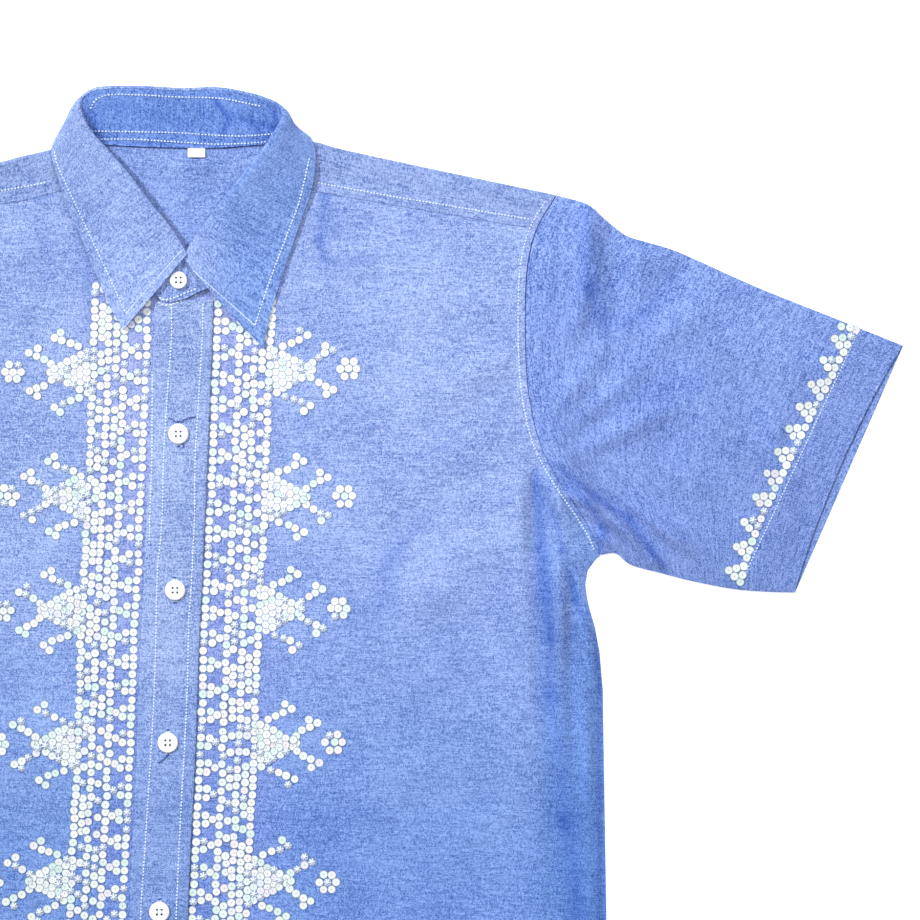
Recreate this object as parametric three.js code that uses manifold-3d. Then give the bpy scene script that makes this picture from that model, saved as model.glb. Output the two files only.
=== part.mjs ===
// Short-sleeved button-through shirt, laid flat on its back. Millimetres, +X the viewer's right,
// +Y towards the collar, +Z up. Every cut-and-sewn piece is one closed solid of its own.
import * as THREE from "three";
import Module from "manifold-3d";

// Cloth and the way the layers lie on each other.
const CLOTH = 1.0;
const GAP = 0.3;
const SEAM = 0.15;
const LAYER = CLOTH + GAP;
const EDGE_IN = 1.0;
const TIP_IN = 0.08;
const HEM_Y = -390.61;

// Button band, buttons and label.
const BAND_HALF = 19;
const STAND_UNDER = 11.7;
const LAP_UNDER = 12;
const BUTTON = { radius: 6.65, thick: 2.0, hole: 0.8, spread: 1.5 };
const TOP_BUTTON_RADIUS = 5.7;
const LABEL = { x: 4.0, y: 346.6, wide: 11.3, deep: 5.6, thick: 0.6 };
const STAND_HALF = 0.7;
const LEAF_HALF = 0.5;

// Side seam, from the hem to the underarm.
const sideSeam = [
  { y: -390.65, x: 277.0 }, { y: -270, x: 276.6 }, { y: -148.8, x: 275.8 }, { y: -50.7, x: 274.2 },
  { y: 0, x: 273.4 }, { y: 24.1, x: 271.3 }, { y: 40.3, x: 268.3 }, { y: 54.0, x: 264.2 },
  { y: 66.0, x: 262.0 }, { y: 76.4, x: 263.1 }, { y: 82.5, x: 266.5 }, { y: 87.1, x: 272.4 },
];

// Armhole seam, from the underarm to the shoulder tip.
const armhole = [
  { y: 87.1, x: 272.4 }, { y: 96.9, x: 268.6 }, { y: 113.8, x: 259.0 }, { y: 134.6, x: 245.1 },
  { y: 158.6, x: 232.7 }, { y: 186.6, x: 225.9 }, { y: 207.3, x: 223.6 }, { y: 234.3, x: 222.8 },
  { y: 274.6, x: 224.2 }, { y: 298.7, x: 230.1 }, { y: 321.1, x: 243.1 },
];

// Stations along the armhole seam, which every piece there is sewn to at the same points.
const ARM = { yokeBack: 11, seamEnd: 13, tip: 15, bunch: 1.15 };

// Middle line of the button band, which drifts to one side towards the hem.
const bandLine = [
  { y: -390.65, x: -22.1 }, { y: -144.3, x: -14.3 }, { y: -34.5, x: -8.8 }, { y: 64.4, x: -4.1 },
  { y: 165.8, x: -2.0 }, { y: 254.6, x: 0.4 },
];

// Sleeve: fold along the top, underside, and the hem's place on the lower layer.
const sleeveTop = [
  { x: 243.1, y: 321.1 }, { x: 264.2, y: 314.6 }, { x: 274.9, y: 305.5 }, { x: 289.2, y: 294.6 },
  { x: 304.2, y: 289.9 }, { x: 319.2, y: 285.4 }, { x: 371.2, y: 262.3 }, { x: 428.0, y: 239.5 },
  { x: 468.65, y: 223.2 },
];
const sleeveUnder = [
  { x: 272.4, y: 87.1 }, { x: 281.4, y: 88.1 }, { x: 290.3, y: 81.3 }, { x: 311.2, y: 75.3 },
  { x: 332.1, y: 70.0 }, { x: 359.9, y: 64.8 }, { x: 382.2, y: 63.1 }, { x: 398.4, y: 62.7 },
];
const CUFF_STEP = 5;

// Shoulder folds and the yoke's seams to the fronts, from the neck to the armhole.
const shoulder = {
  right: [{ x: 78, y: 354.2 }, { x: 86.5, y: 355.4 }, { x: 102, y: 351.3 }, { x: 243.1, y: 321.1 }],
  left: [{ x: 82, y: 350.8 }, { x: 102, y: 346.6 }, { x: 118, y: 342.6 }, { x: 243.1, y: 321.1 }],
};
const yokeSeam = {
  right: [{ x: 68.2, y: 327.2 }, { x: 93, y: 322.4 }, { x: 133.3, y: 314.9 }, { x: 186.9, y: 305.9 },
    { x: 230.1, y: 298.7 }],
  left: [{ x: 68.4, y: 326 }, { x: 86, y: 321.8 }, { x: 102, y: 317.3 }, { x: 118, y: 315.2 },
    { x: 230.1, y: 298.7 }],
};

// Collar, a row for each station along the neck, from the tab on the left front's side round the
// back to the other end. n: neck seam. r: top edge of the stand. m: middle of the leaf's fall.
// e: outer edge of the leaf. Rows with no e have the stand alone.
const collar = [
  { nx: 20.2, ny: 263.2, nz: 4.6, rx: 19.5, ry: 272.4, rz: 4.9 },
  { nx: 10.4, ny: 258.7, nz: 4.6, rx: 12.4, ry: 278.2, rz: 5.4 },
  { nx: 0, ny: 254.2, nz: 4.6, rx: 2, ry: 285.4, rz: 6.0, mx: -18.2, my: 259.4, mz: 8.2, ex: -38.4, ey: 233.4, ez: 4.6 },
  { nx: -12.3, ny: 253.5, nz: 4.5, rx: -3.9, ry: 292.5, rz: 7.4, mx: -25.4, my: 270.8, mz: 8.7, ex: -46.8, ey: 249.0, ez: 4.4 },
  { nx: -23.4, ny: 266.5, nz: 4.2, rx: -10.4, ry: 301.0, rz: 8.8, mx: -31.9, my: 282.8, mz: 8.9, ex: -53.3, ey: 264.6, ez: 4.3 },
  { nx: -39.0, ny: 284.1, nz: 4.1, rx: -21.5, ry: 314.6, rz: 10.2, mx: -41, my: 298.1, mz: 9.2, ex: -60.5, ey: 281.5, ez: 4.4 },
  { nx: -54.0, ny: 302.9, nz: 4.2, rx: -33.8, ry: 330.9, rz: 11.2, mx: -50.4, my: 314.7, mz: 9.6, ex: -67.0, ey: 298.4, ez: 4.6 },
  { nx: -64.4, ny: 322.4, nz: 4.8, rx: -47.5, ry: 347.1, rz: 12.0, mx: -60.8, my: 330.2, mz: 10, ex: -74.1, ey: 313.3, ez: 5.2 },
  { nx: -70.2, ny: 338.7, nz: 5.6, rx: -57.9, ry: 358.8, rz: 12.6, mx: -68.6, my: 344.9, mz: 10.2, ex: -79.3, ey: 330.9, ez: 6.2 },
  { nx: -72.2, ny: 349.1, nz: 5.8, rx: -63.7, ry: 371.2, rz: 13.0, mx: -75.3, my: 359.2, mz: 9.8, ex: -83.9, ey: 346.1, ez: 6.4 },
  { nx: -70.9, ny: 352.3, nz: 5.2, rx: -64.7, ry: 377.4, rz: 13.3, mx: -75.6, my: 366.6, mz: 7.6, ex: -83.2, ey: 353.9, ez: 3.6 },
  { nx: -67.6, ny: 354.3, nz: 4.4, rx: -62.4, ry: 382.2, rz: 13.6, mx: -71.5, my: 367.3, mz: 4.2, ex: -77.7, ey: 353.3, ez: 1.2 },
  { nx: -59.8, ny: 354.9, nz: 4.0, rx: -55.9, ry: 386.1, rz: 13.8, mx: -63.4, my: 367.3, mz: 2.6, ex: -68.9, ey: 348.4, ez: 0.6 },
  { nx: -50.7, ny: 354.9, nz: 3.7, rx: -46.8, ry: 387.4, rz: 14, mx: -51.7, my: 366.3, mz: 2.0, ex: -56.6, ey: 345.2, ez: 0.6 },
  { nx: -27.3, ny: 353.6, nz: 3.6, rx: -25.4, ry: 387.6, rz: 14, mx: -26.4, my: 365.6, mz: 1.8, ex: -27.3, ey: 343.5, ez: 0.6 },
  { nx: -0.7, ny: 352.9, nz: 3.6, rx: 0, ry: 386.1, rz: 14, mx: 0, my: 364.5, mz: 1.8, ex: 0, ey: 342.9, ez: 0.6 },
  { nx: 24.7, ny: 352.9, nz: 3.6, rx: 23.4, ry: 386.8, rz: 14, mx: 25.7, my: 365.2, mz: 1.8, ex: 28.0, ey: 343.5, ez: 0.6 },
  { nx: 47.5, ny: 354.6, nz: 3.7, rx: 45.5, ry: 382.9, rz: 13.8, mx: 48.8, my: 364.4, mz: 2.0, ex: 52.0, ey: 345.8, ez: 0.6 },
  { nx: 57.2, ny: 354.9, nz: 4.0, rx: 55.3, ry: 379.9, rz: 13.6, mx: 60.8, my: 365.2, mz: 2.8, ex: 66.3, ey: 350.4, ez: 0.6 },
  { nx: 65.0, ny: 354.3, nz: 4.4, rx: 61.8, ry: 377.0, rz: 13.4, mx: 68.6, my: 366, mz: 4.4, ex: 75.4, ey: 356.2, ez: 1.2 },
  { nx: 68.9, ny: 352.3, nz: 5.2, rx: 65.0, ry: 373.8, rz: 13.2, mx: 73.8, my: 366.2, mz: 7.8, ex: 82.9, ey: 358.4, ez: 3.6 },
  { nx: 70.2, ny: 348.4, nz: 5.8, rx: 65.7, ry: 368.6, rz: 13.0, mx: 75.9, my: 359.2, mz: 9.9, ex: 86.4, ey: 350.5, ez: 6.6 },
  { nx: 70.2, ny: 337.4, nz: 5.6, rx: 59.8, ry: 356.2, rz: 12.4, mx: 73.3, my: 347.5, mz: 10.2, ex: 86.8, ey: 338.7, ez: 6.4 },
  { nx: 64.4, ny: 321.8, nz: 4.8, rx: 47.5, ry: 339.3, rz: 11.8, mx: 65.9, my: 331.2, mz: 9.8, ex: 84.2, ey: 323.1, ez: 5.4 },
  { nx: 55.3, ny: 302.9, nz: 4.2, rx: 35.1, ry: 323.7, rz: 10.8, mx: 56.7, my: 315.3, mz: 9.2, ex: 78.3, ey: 306.8, ez: 4.8 },
  { nx: 42.9, ny: 285.4, nz: 3.9, rx: 23.4, ry: 308.8, rz: 9.4, mx: 47.2, my: 297.1, mz: 8.6, ex: 70.9, ey: 285.4, ez: 4.4 },
  { nx: 29.9, ny: 271.1, nz: 3.4, rx: 14.3, ry: 297.1, rz: 7.4, mx: 37, my: 277.5, mz: 8.2, ex: 63.1, ey: 262.0, ez: 4.2 },
  { nx: 22.8, ny: 265.9, nz: 3.1, rx: 10.4, ry: 291.9, rz: 6.0, mx: 30.5, my: 264.5, mz: 8.0, ex: 57.2, ey: 241.8, ez: 4.2 },
  { nx: 15.6, ny: 261.3, nz: 2.8, rx: 6.5, ry: 286.7, rz: 4.6, mx: 22.5, my: 250, mz: 7.8, ex: 52.0, ey: 224.3, ez: 4.2 },
  { nx: 2.6, ny: 254.8, nz: 2.2, rx: -1.3, ry: 276.3, rz: 3.0 },
  { nx: -12.3, ny: 253.5, nz: 2.2, rx: -13.0, ry: 269.1, rz: 2.9 },
];
const STATION = { leafStart: 2, backLeft: 10, backRight: 20, leafEnd: 28 };

// Buttons down the band, and the one on the stand's tab.
const buttonRows = [165.8, 64.4, -34.5, -144.3, -246.3];
const topButton = { x: -1.7, y: 265.4, z: 6.3 };

// Soft folds of the upper layer, as ridges from one end to the other.
const folds = [
  { x0: 252, y0: 308, x1: 247, y1: 240, wide: 8, high: 2.2 },
  { x0: 280, y0: 292, x1: 274, y1: 226, wide: 11, high: 1.8 },
  { x0: 249, y0: 128, x1: 306, y1: 84, wide: 7, high: 2.0 },
  { x0: 300, y0: 222, x1: 398, y1: 120, wide: 22, high: 1.5 },
  { x0: 318, y0: 268, x1: 352, y1: 150, wide: 20, high: 1.4 },
  { x0: 242, y0: 90, x1: 250, y1: 2, wide: 8, high: 2.4 },
  { x0: 248, y0: 6, x1: 252, y1: -80, wide: 10, high: 1.8 },
  { x0: 256, y0: 76, x1: 266, y1: 36, wide: 7, high: 1.8 },
  { x0: 222, y0: 112, x1: 236, y1: 10, wide: 13, high: 1.4 },
  { x0: 90, y0: 240, x1: 200, y1: 196, wide: 34, high: 1.1 },
  { x0: 120, y0: -60, x1: 150, y1: -240, wide: 36, high: 1.4 },
  { x0: 232, y0: -150, x1: 240, y1: -330, wide: 22, high: 1.6 },
  { x0: -250, y0: 304, x1: -246, y1: 236, wide: 9, high: 2.0 },
  { x0: -282, y0: 288, x1: -270, y1: 230, wide: 11, high: 1.6 },
  { x0: -252, y0: 124, x1: -310, y1: 86, wide: 8, high: 2.2 },
  { x0: -310, y0: 236, x1: -390, y1: 128, wide: 22, high: 1.6 },
  { x0: -240, y0: 88, x1: -252, y1: -16, wide: 9, high: 2.2 },
  { x0: -250, y0: -30, x1: -246, y1: -110, wide: 12, high: 1.6 },
  { x0: -258, y0: 72, x1: -266, y1: 30, wide: 7, high: 1.6 },
  { x0: -84, y0: 236, x1: -196, y1: 206, wide: 32, high: 1.1 },
  { x0: -130, y0: -90, x1: -160, y1: -250, wide: 38, high: 1.4 },
  { x0: -236, y0: -170, x1: -230, y1: -340, wide: 22, high: 1.5 },
];

// The cloth stands a little rounder along its turned edges. wide: reach. high: at the edge.
const turnedEdges = [
  { x0: 104, y0: 346, x1: 243, y1: 316, wide: 8, high: 1.4 },
  { x0: 243, y0: 316, x1: 268, y1: 307, wide: 8, high: 1.4 },
  { x0: 268, y0: 307, x1: 290, y1: 290, wide: 8, high: 1.4 },
  { x0: 290, y0: 290, x1: 466, y1: 219, wide: 8, high: 1.4 },
  { x0: 292, y0: 86, x1: 392, y1: 68, wide: 7, high: 0.9 },
  { x0: 84, y0: 349, x1: 104, y1: 346, wide: 8, high: 0.7 },
];

const smooth = (from, to, value) => THREE.MathUtils.smoothstep(value, from, to);
const mix = THREE.MathUtils.lerp;
const plan = (x, y) => new THREE.Vector2(x, y);
const spot = (at, z) => new THREE.Vector3(at.x, at.y, z);
const evenly = (count) => Array.from({ length: count + 1 }, (_, i) => i / count);
const mirrored = (table) => table.map(({ x, y }) => ({ x: -x, y }));

// x on a line that is given at rising heights y, with soft bends.
function across(table, y) {
  const last = table.length - 2;
  let i = 0;
  while (i < last && y > table[i + 1].y) i += 1;
  const slope = (k) => {
    const a = table[Math.max(k - 1, 0)];
    const b = table[Math.min(k + 1, table.length - 1)];
    return (b.x - a.x) / (b.y - a.y);
  };
  const span = table[i + 1].y - table[i].y;
  const t = (y - table[i].y) / span;
  const t2 = t * t;
  const t3 = t2 * t;
  return (2 * t3 - 3 * t2 + 1) * table[i].x + (t3 - 2 * t2 + t) * span * slope(i)
    + (3 * t2 - 2 * t3) * table[i + 1].x + (t3 - t2) * span * slope(i + 1);
}

// A smooth line through plan points, read by its share of length.
function path(points) {
  const curve = new THREE.CatmullRomCurve3(points.map(({ x, y }) => spot({ x, y }, 0)), false, "centripetal");
  return (t) => {
    const at = curve.getPointAt(THREE.MathUtils.clamp(t, 0, 1));
    return plan(at.x, at.y);
  };
}

// Several lines end to end, each with its share of the whole.
function joined(lines, ends) {
  return (t) => {
    let i = 0;
    while (i < lines.length - 1 && t > ends[i]) i += 1;
    const start = i === 0 ? 0 : ends[i - 1];
    return lines[i]((t - start) / (ends[i] - start));
  };
}

// Points inside four edge lines. The result has a row for each v and a column for each u.
function patch(bottom, top, left, right, us, vs) {
  return vs.map((v) => us.map((u) => {
    const corner = (line, end, share) => line(end).multiplyScalar(share);
    return bottom(u).multiplyScalar(1 - v).add(top(u).multiplyScalar(v))
      .add(left(v).multiplyScalar(1 - u)).add(right(v).multiplyScalar(u))
      .sub(corner(bottom, 0, (1 - u) * (1 - v))).sub(corner(bottom, 1, u * (1 - v)))
      .sub(corner(top, 0, (1 - u) * v)).sub(corner(top, 1, u * v));
  }));
}

function ridge(row, x, y, openEnds) {
  const dx = row.x1 - row.x0;
  const dy = row.y1 - row.y0;
  const t = THREE.MathUtils.clamp(((x - row.x0) * dx + (y - row.y0) * dy) / (dx * dx + dy * dy), 0, 1);
  const away = Math.hypot(x - row.x0 - t * dx, y - row.y0 - t * dy) / row.wide;
  const along = openEnds ? 1 : 0.25 + 0.75 * Math.sin(Math.PI * t);
  return row.high * along * Math.exp(-away * away);
}

// The yoke lies over the collar's leaf behind the neck.
function overLeaf(x, y) {
  return 1.8 * smooth(330, 342, y) * (1 - smooth(84, 96, Math.abs(x)));
}

// How far the upper layer stands above its flat place.
function lift(x, y) {
  const soft = folds.reduce((sum, row) => sum + ridge(row, x, y, false), 0);
  const edge = Math.max(...turnedEdges.map((row) => ridge(row, Math.abs(x), y, true)));
  return soft + edge + overLeaf(x, y);
}

function flipInsideOut(spots) {
  for (let i = 0; i < spots.length; i += 3) {
    [spots[i + 1], spots[i + 2]] = [spots[i + 2], spots[i + 1]];
  }
}

function volumeOf(spots) {
  let sum = 0;
  for (let i = 0; i < spots.length; i += 3) {
    sum += spots[i].dot(spots[i + 1].clone().cross(spots[i + 2]));
  }
  return sum / 6;
}

// A closed wall between an outer and an inner net of points. A cell is left out where keep says no,
// and the columns run round in a ring where ring is true.
function shell(name, finish, outer, inner, { keep = () => true, ring = false } = {}) {
  const rows = outer.length;
  const cols = outer[0].length;
  const last = ring ? cols : cols - 1;
  const spots = [];
  const face = (a, b, c, d) => spots.push(a, b, c, a, c, d);
  const has = (r, c) => {
    const col = ring ? (c + cols) % cols : c;
    return r >= 0 && r < rows - 1 && col >= 0 && col < last && keep(r, col);
  };
  for (let r = 0; r < rows - 1; r += 1) {
    for (let c = 0; c < last; c += 1) {
      if (!has(r, c)) continue;
      const d = (c + 1) % cols;
      face(outer[r][c], outer[r][d], outer[r + 1][d], outer[r + 1][c]);
      face(inner[r + 1][c], inner[r + 1][d], inner[r][d], inner[r][c]);
      if (!has(r - 1, c)) face(inner[r][c], inner[r][d], outer[r][d], outer[r][c]);
      if (!has(r + 1, c)) face(outer[r + 1][c], outer[r + 1][d], inner[r + 1][d], inner[r + 1][c]);
      if (!has(r, c - 1)) face(outer[r][c], outer[r + 1][c], inner[r + 1][c], inner[r][c]);
      if (!has(r, c + 1)) face(outer[r + 1][d], outer[r][d], inner[r][d], inner[r + 1][d]);
    }
  }
  if (volumeOf(spots) < 0) flipInsideOut(spots);
  return solid(name, finish, spots);
}

function solid(name, finish, spots) {
  const geometry = new THREE.BufferGeometry().setFromPoints(spots);
  geometry.computeVertexNormals();
  const mesh = new THREE.Mesh(geometry, finish);
  mesh.name = name;
  return mesh;
}

// A panel lying at one height, lifted with the folds where it is an upper layer.
function panel(name, finish, net, level, rise) {
  const at = (extra) => net.map((row) => row.map((p) => spot(p, level + extra + rise(p.x, p.y))));
  return shell(name, finish, at(CLOTH), at(0));
}

// A wall of even thickness about a middle net.
function thick(name, finish, net, half) {
  const rows = net.length - 1;
  const cols = net[0].length - 1;
  const side = (sign) => net.map((row, r) => row.map((p, c) => {
    const along = net[r][Math.min(c + 1, cols)].clone().sub(net[r][Math.max(c - 1, 0)]);
    const over = net[Math.min(r + 1, rows)][c].clone().sub(net[Math.max(r - 1, 0)][c]);
    return p.clone().addScaledVector(over.cross(along).normalize(), sign * half);
  }));
  return shell(name, finish, side(1), side(-1));
}

const cloth = new THREE.MeshStandardMaterial({ color: 0x89a5e7, roughness: 0.9, metalness: 0 });
const pearl = new THREE.MeshStandardMaterial({ color: 0xf4f4f0, roughness: 0.35, metalness: 0 });
const tape = new THREE.MeshStandardMaterial({ color: 0xf2f3f5, roughness: 0.7, metalness: 0 });
cloth.name = "cloth";
pearl.name = "button";
tape.name = "label";

const flat = () => 0;
const neckPoint = (i) => {
  const row = collar[i];
  const out = plan(row.nx - row.rx, row.ny - row.ry).normalize();
  return plan(row.nx, row.ny).addScaledVector(out, LAYER);
};
const neckLine = (from, to) => {
  const step = Math.sign(to - from);
  const count = Math.abs(to - from);
  return Array.from({ length: count + 1 }, (_, i) => neckPoint(from + i * step));
};
const shifted = (line, dx, dy) => (t) => line(t).add(plan(dx, dy));
const straight = (a, b) => (t) => plan(mix(a.x, b.x, t), mix(a.y, b.y, t));
const tipOf = (table) => table[table.length - 1];
const edgeAt = (table, side, inset) => (y) => plan(side * (across(table, y) - inset), y);
const rising = (line, from, to) => (t) => line(mix(from, to, t));

function armStation(i, side, inset) {
  const seamY = yokeSeam.right[yokeSeam.right.length - 1].y;
  const low = (armhole[0].y + (seamY - armhole[0].y) * (Math.min(i, ARM.seamEnd) / ARM.seamEnd) ** ARM.bunch);
  const y = mix(low, tipOf(armhole).y, Math.max(i - ARM.seamEnd, 0) / (ARM.tip - ARM.seamEnd));
  return edgeAt(armhole, side, inset)(y);
}

// The armhole seam from one station to another, straight between stations.
function armLine(side, inset, from, to) {
  return (t) => {
    const i = mix(from, to, t);
    const low = Math.min(Math.floor(i), ARM.tip - 1);
    return armStation(low, side, inset).lerp(armStation(low + 1, side, inset), i - low);
  };
}

// Rows of a body panel: even along the side seam, then one for each armhole station.
const SIDE_SHARE = 0.66;
const SIDE_ROWS = 15;
const upTo = (armRows) => [
  ...evenly(SIDE_ROWS).map((t) => t * SIDE_SHARE),
  ...evenly(armRows).slice(1).map((t) => mix(SIDE_SHARE, 1, t)),
];
const seamShares = [0, 0.13, 0.26, 0.39, 0.5, 0.6, 0.7, 0.79, 0.87, 0.94, 1];

// Back panel, up to the yoke's seam.
function makeBack() {
  const underarm = tipOf(sideSeam).y;
  const outline = (side) => joined(
    [rising(edgeAt(sideSeam, side, 0), HEM_Y, underarm),
      shifted(armLine(side, SEAM, 0, ARM.yokeBack), 0, -2 * SEAM)],
    [SIDE_SHARE, 1],
  );
  const hem = straight(outline(-1)(0), outline(1)(0));
  const seam = straight(outline(-1)(1), outline(1)(1));
  return panel("back", cloth, patch(hem, seam, outline(-1), outline(1), evenly(8), upTo(ARM.yokeBack)), 0, flat);
}

// A front, from the band to the side seam. side is 1 on the viewer's right.
function makeFront(name, side) {
  const underarm = tipOf(sideSeam).y;
  const outer = joined(
    [rising(edgeAt(sideSeam, side, 0), HEM_Y, underarm),
      shifted(armLine(side, SEAM, 0, ARM.seamEnd), 0, -SEAM)],
    [SIDE_SHARE, 1],
  );
  const inset = side > 0 ? -STAND_UNDER : -LAP_UNDER;
  const neck = side > 0 ? neckLine(30, 23) : neckLine(3, 7);
  const start = neck[0];
  const inner = (t) => {
    const y = mix(HEM_Y, start.y, t);
    return plan(across(bandLine, y) + inset, y);
  };
  neck[0] = inner(1);
  const seamPoints = side > 0 ? yokeSeam.right : mirrored(yokeSeam.left);
  const seam = seamPoints.map(({ x, y }) => plan(x, y - SEAM));
  seam[seam.length - 1] = outer(1);
  const neckShare = 6 / 14;
  const top = joined([path([...neck, seam[0]]), path(seam)], [neckShare, 1]);
  const hem = straight(inner(0), outer(0));
  const us = [...evenly(6).map((t) => t * neckShare), ...seamShares.slice(1).map((t) => mix(neckShare, 1, t))];
  return panel(name, cloth, patch(hem, top, inner, outer, us, upTo(ARM.seamEnd)), LAYER, lift);
}

// Yoke: one piece from the back seam, over both shoulders, to the fronts.
function makeYoke() {
  const sideCols = 10;
  const neckCols = 12;
  const cols = 2 * sideCols + neckCols;
  const ends = [sideCols / cols, (sideCols + neckCols) / cols, 1];
  const tip = tipOf(armhole);
  const neckBack = neckLine(STATION.backLeft, STATION.backRight);
  const foldLeft = [neckBack[0], ...mirrored(shoulder.left).slice(0, -1), plan(-tip.x + SEAM, tip.y)];
  const foldRight = [neckBack[neckBack.length - 1], ...shoulder.right.slice(0, -1), plan(tip.x - SEAM, tip.y)];
  const lines = {
    left: shifted(path(foldLeft), 0, -EDGE_IN),
    right: shifted(path(foldRight), 0, -EDGE_IN),
  };
  const fold = joined([(t) => lines.left(1 - t), path(neckBack), lines.right], ends);
  const armRight = armLine(1, SEAM, ARM.yokeBack, ARM.tip - TIP_IN);
  const armLeft = armLine(-1, SEAM, ARM.yokeBack, ARM.tip - TIP_IN);
  const low = armRight(0).y;
  const stops = [armLeft(0), plan(-66, low), plan(66, low), armRight(0)];
  const base = joined([straight(stops[0], stops[1]), straight(stops[1], stops[2]), straight(stops[2], stops[3])], ends);
  const us = [
    ...seamShares.map((t) => (1 - t) * ends[0]).reverse(),
    ...evenly(neckCols).slice(1, -1).map((t) => mix(ends[0], ends[1], t)),
    ...seamShares.map((t) => mix(ends[1], 1, t)),
  ];
  const lower = patch(base, fold, armLeft, armRight, us, [0, 0.25, 0.5, 0.75, 0.84, 0.92, 1]);
  const upper = (side) => {
    const label = side > 0 ? "right" : "left";
    const table = side > 0 ? yokeSeam.right : mirrored(yokeSeam.left);
    const seam = table.map(({ x, y }) => plan(x, y + SEAM));
    const neck = side > 0 ? neckLine(20, 22) : neckLine(10, 8);
    neck[0] = lines[label](0);
    const arm = shifted(armLine(side, SEAM, ARM.tip - TIP_IN, ARM.seamEnd), 0, SEAM);
    seam[seam.length - 1] = arm(1);
    return patch(lines[label], path(seam), path([...neck, seam[0]]), arm, seamShares, [0, 0.25, 0.5, 1]);
  };
  const flaps = { left: upper(-1), right: upper(1) };
  const overPoint = (r, c) => {
    if (c <= sideCols) return flaps.left[r][sideCols - c];
    if (c >= sideCols + neckCols) return flaps.right[r][c - sideCols - neckCols];
    return lower[6][c];
  };
  const isFold = (c) => c <= sideCols || c >= sideCols + neckCols;
  const nets = { outer: [], inner: [] };
  lower.forEach((row, r) => {
    const last = r === lower.length - 1;
    nets.outer.push(row.map((p) => spot(p, overLeaf(p.x, p.y))));
    nets.inner.push(row.map((p, c) => spot(plan(p.x, p.y - (last && isFold(c) ? 0.5 : 0)),
      CLOTH + overLeaf(p.x, p.y))));
  });
  nets.outer.push(lower[6].map((p) => spot(plan(p.x, p.y + EDGE_IN),
    0.5 * (overLeaf(p.x, p.y) + LAYER + CLOTH + lift(p.x, p.y)))));
  nets.inner.push(lower[6].map((p) => spot(plan(p.x, p.y - 0.1),
    0.5 * (CLOTH + overLeaf(p.x, p.y) + LAYER + lift(p.x, p.y)))));
  for (let r = 0; r < 4; r += 1) {
    const row = lower[6].map((_, c) => overPoint(r, c));
    nets.outer.push(row.map((p) => spot(p, LAYER + CLOTH + lift(p.x, p.y))));
    nets.inner.push(row.map((p) => spot(plan(p.x, p.y - (r === 0 ? 0.5 : 0)), LAYER + lift(p.x, p.y))));
  }
  const keep = (r, c) => r < 6 || c < sideCols || c >= sideCols + neckCols;
  return shell("yoke", cloth, nets.outer, nets.inner, { keep });
}

// Sleeve: a flattened tube from the armhole to its hem. side is 1 on the viewer's right.
function makeSleeve(name, side) {
  const out = (table) => table.map(({ x, y }) => plan(side * (x + SEAM), y));
  const top = path(out(sleeveTop));
  const under = path(out(sleeveUnder));
  const arm = armLine(side, -SEAM, 0, ARM.tip);
  const cuffLow = straight(under(1), top(1));
  const inward = top(1).sub(under(1)).rotateAround(plan(0, 0), side * Math.PI / 2).normalize();
  const cuffHigh = (t) => cuffLow(t).addScaledVector(inward, CUFF_STEP * Math.sin(Math.PI * t) ** 0.7);
  const vs = [0, 0.04, 0.09, 0.15, 0.22, 0.3, 0.4, 0.5, 0.6, 0.7, 0.8, 0.9, 1];
  const edge = 0.005;
  const inset = evenly(ARM.tip).map((t) => THREE.MathUtils.clamp(t, edge, 1 - edge));
  const lowNet = patch(arm, cuffLow, under, top, [...inset, 1], vs);
  const highNet = patch(arm, cuffHigh, under, top, [0, ...inset], vs);
  const ringAt = (r, low, high, pull) => {
    const bottom = lowNet[r].slice(0, -1).map((p) => spot(p, low));
    const upper = highNet[r].slice(1).map((p) => spot(p, high + lift(p.x, p.y))).reverse();
    const middle = (p, near) => spot(p.clone().lerp(near, pull), 0.5 * (low + high + lift(near.x, near.y)));
    const topEdge = middle(lowNet[r][ARM.tip + 1], lowNet[r][ARM.tip]);
    const underEdge = middle(highNet[r][0], highNet[r][1]);
    return [...bottom, topEdge, ...upper, underEdge];
  };
  const outer = vs.map((_, r) => ringAt(r, 0, LAYER + CLOTH, 0));
  const inner = vs.map((_, r) => ringAt(r, CLOTH, LAYER, 0.8));
  return shell(name, cloth, outer, inner, { ring: true });
}

// Button band, on top of both fronts.
function makeBand() {
  const top = neckPoint(STATION.leafStart).y - SEAM;
  const rows = evenly(24).map((t) => {
    const y = mix(HEM_Y, top, t);
    const middle = across(bandLine, y);
    return [-1, 0, 1].map((s) => plan(middle + s * BAND_HALF, y));
  });
  return panel("placket", cloth, rows, 2 * LAYER, lift);
}

// The collar's two pieces, lofted through their stations.
function collarLine(rows, x, y, z) {
  return new THREE.CatmullRomCurve3(rows.map((row) => new THREE.Vector3(row[x], row[y], row[z])), false, "centripetal");
}

function stationsOf(rows, perStation) {
  const lines = [["nx", "ny", "nz"], ["rx", "ry", "rz"], ["mx", "my", "mz"], ["ex", "ey", "ez"]]
    .filter(([x]) => rows.every((row) => x in row))
    .map((axes) => collarLine(rows, ...axes));
  return evenly((rows.length - 1) * perStation).map((t) => lines.map((line) => line.getPoint(t)));
}

function makeStand() {
  const net = stationsOf(collar, 1.5).map(([neck, roll]) =>
    [0, 0.35, 0.7, 0.94].map((t) => neck.clone().lerp(roll, t)));
  return thick("collar_stand", cloth, net, STAND_HALF);
}

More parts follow.
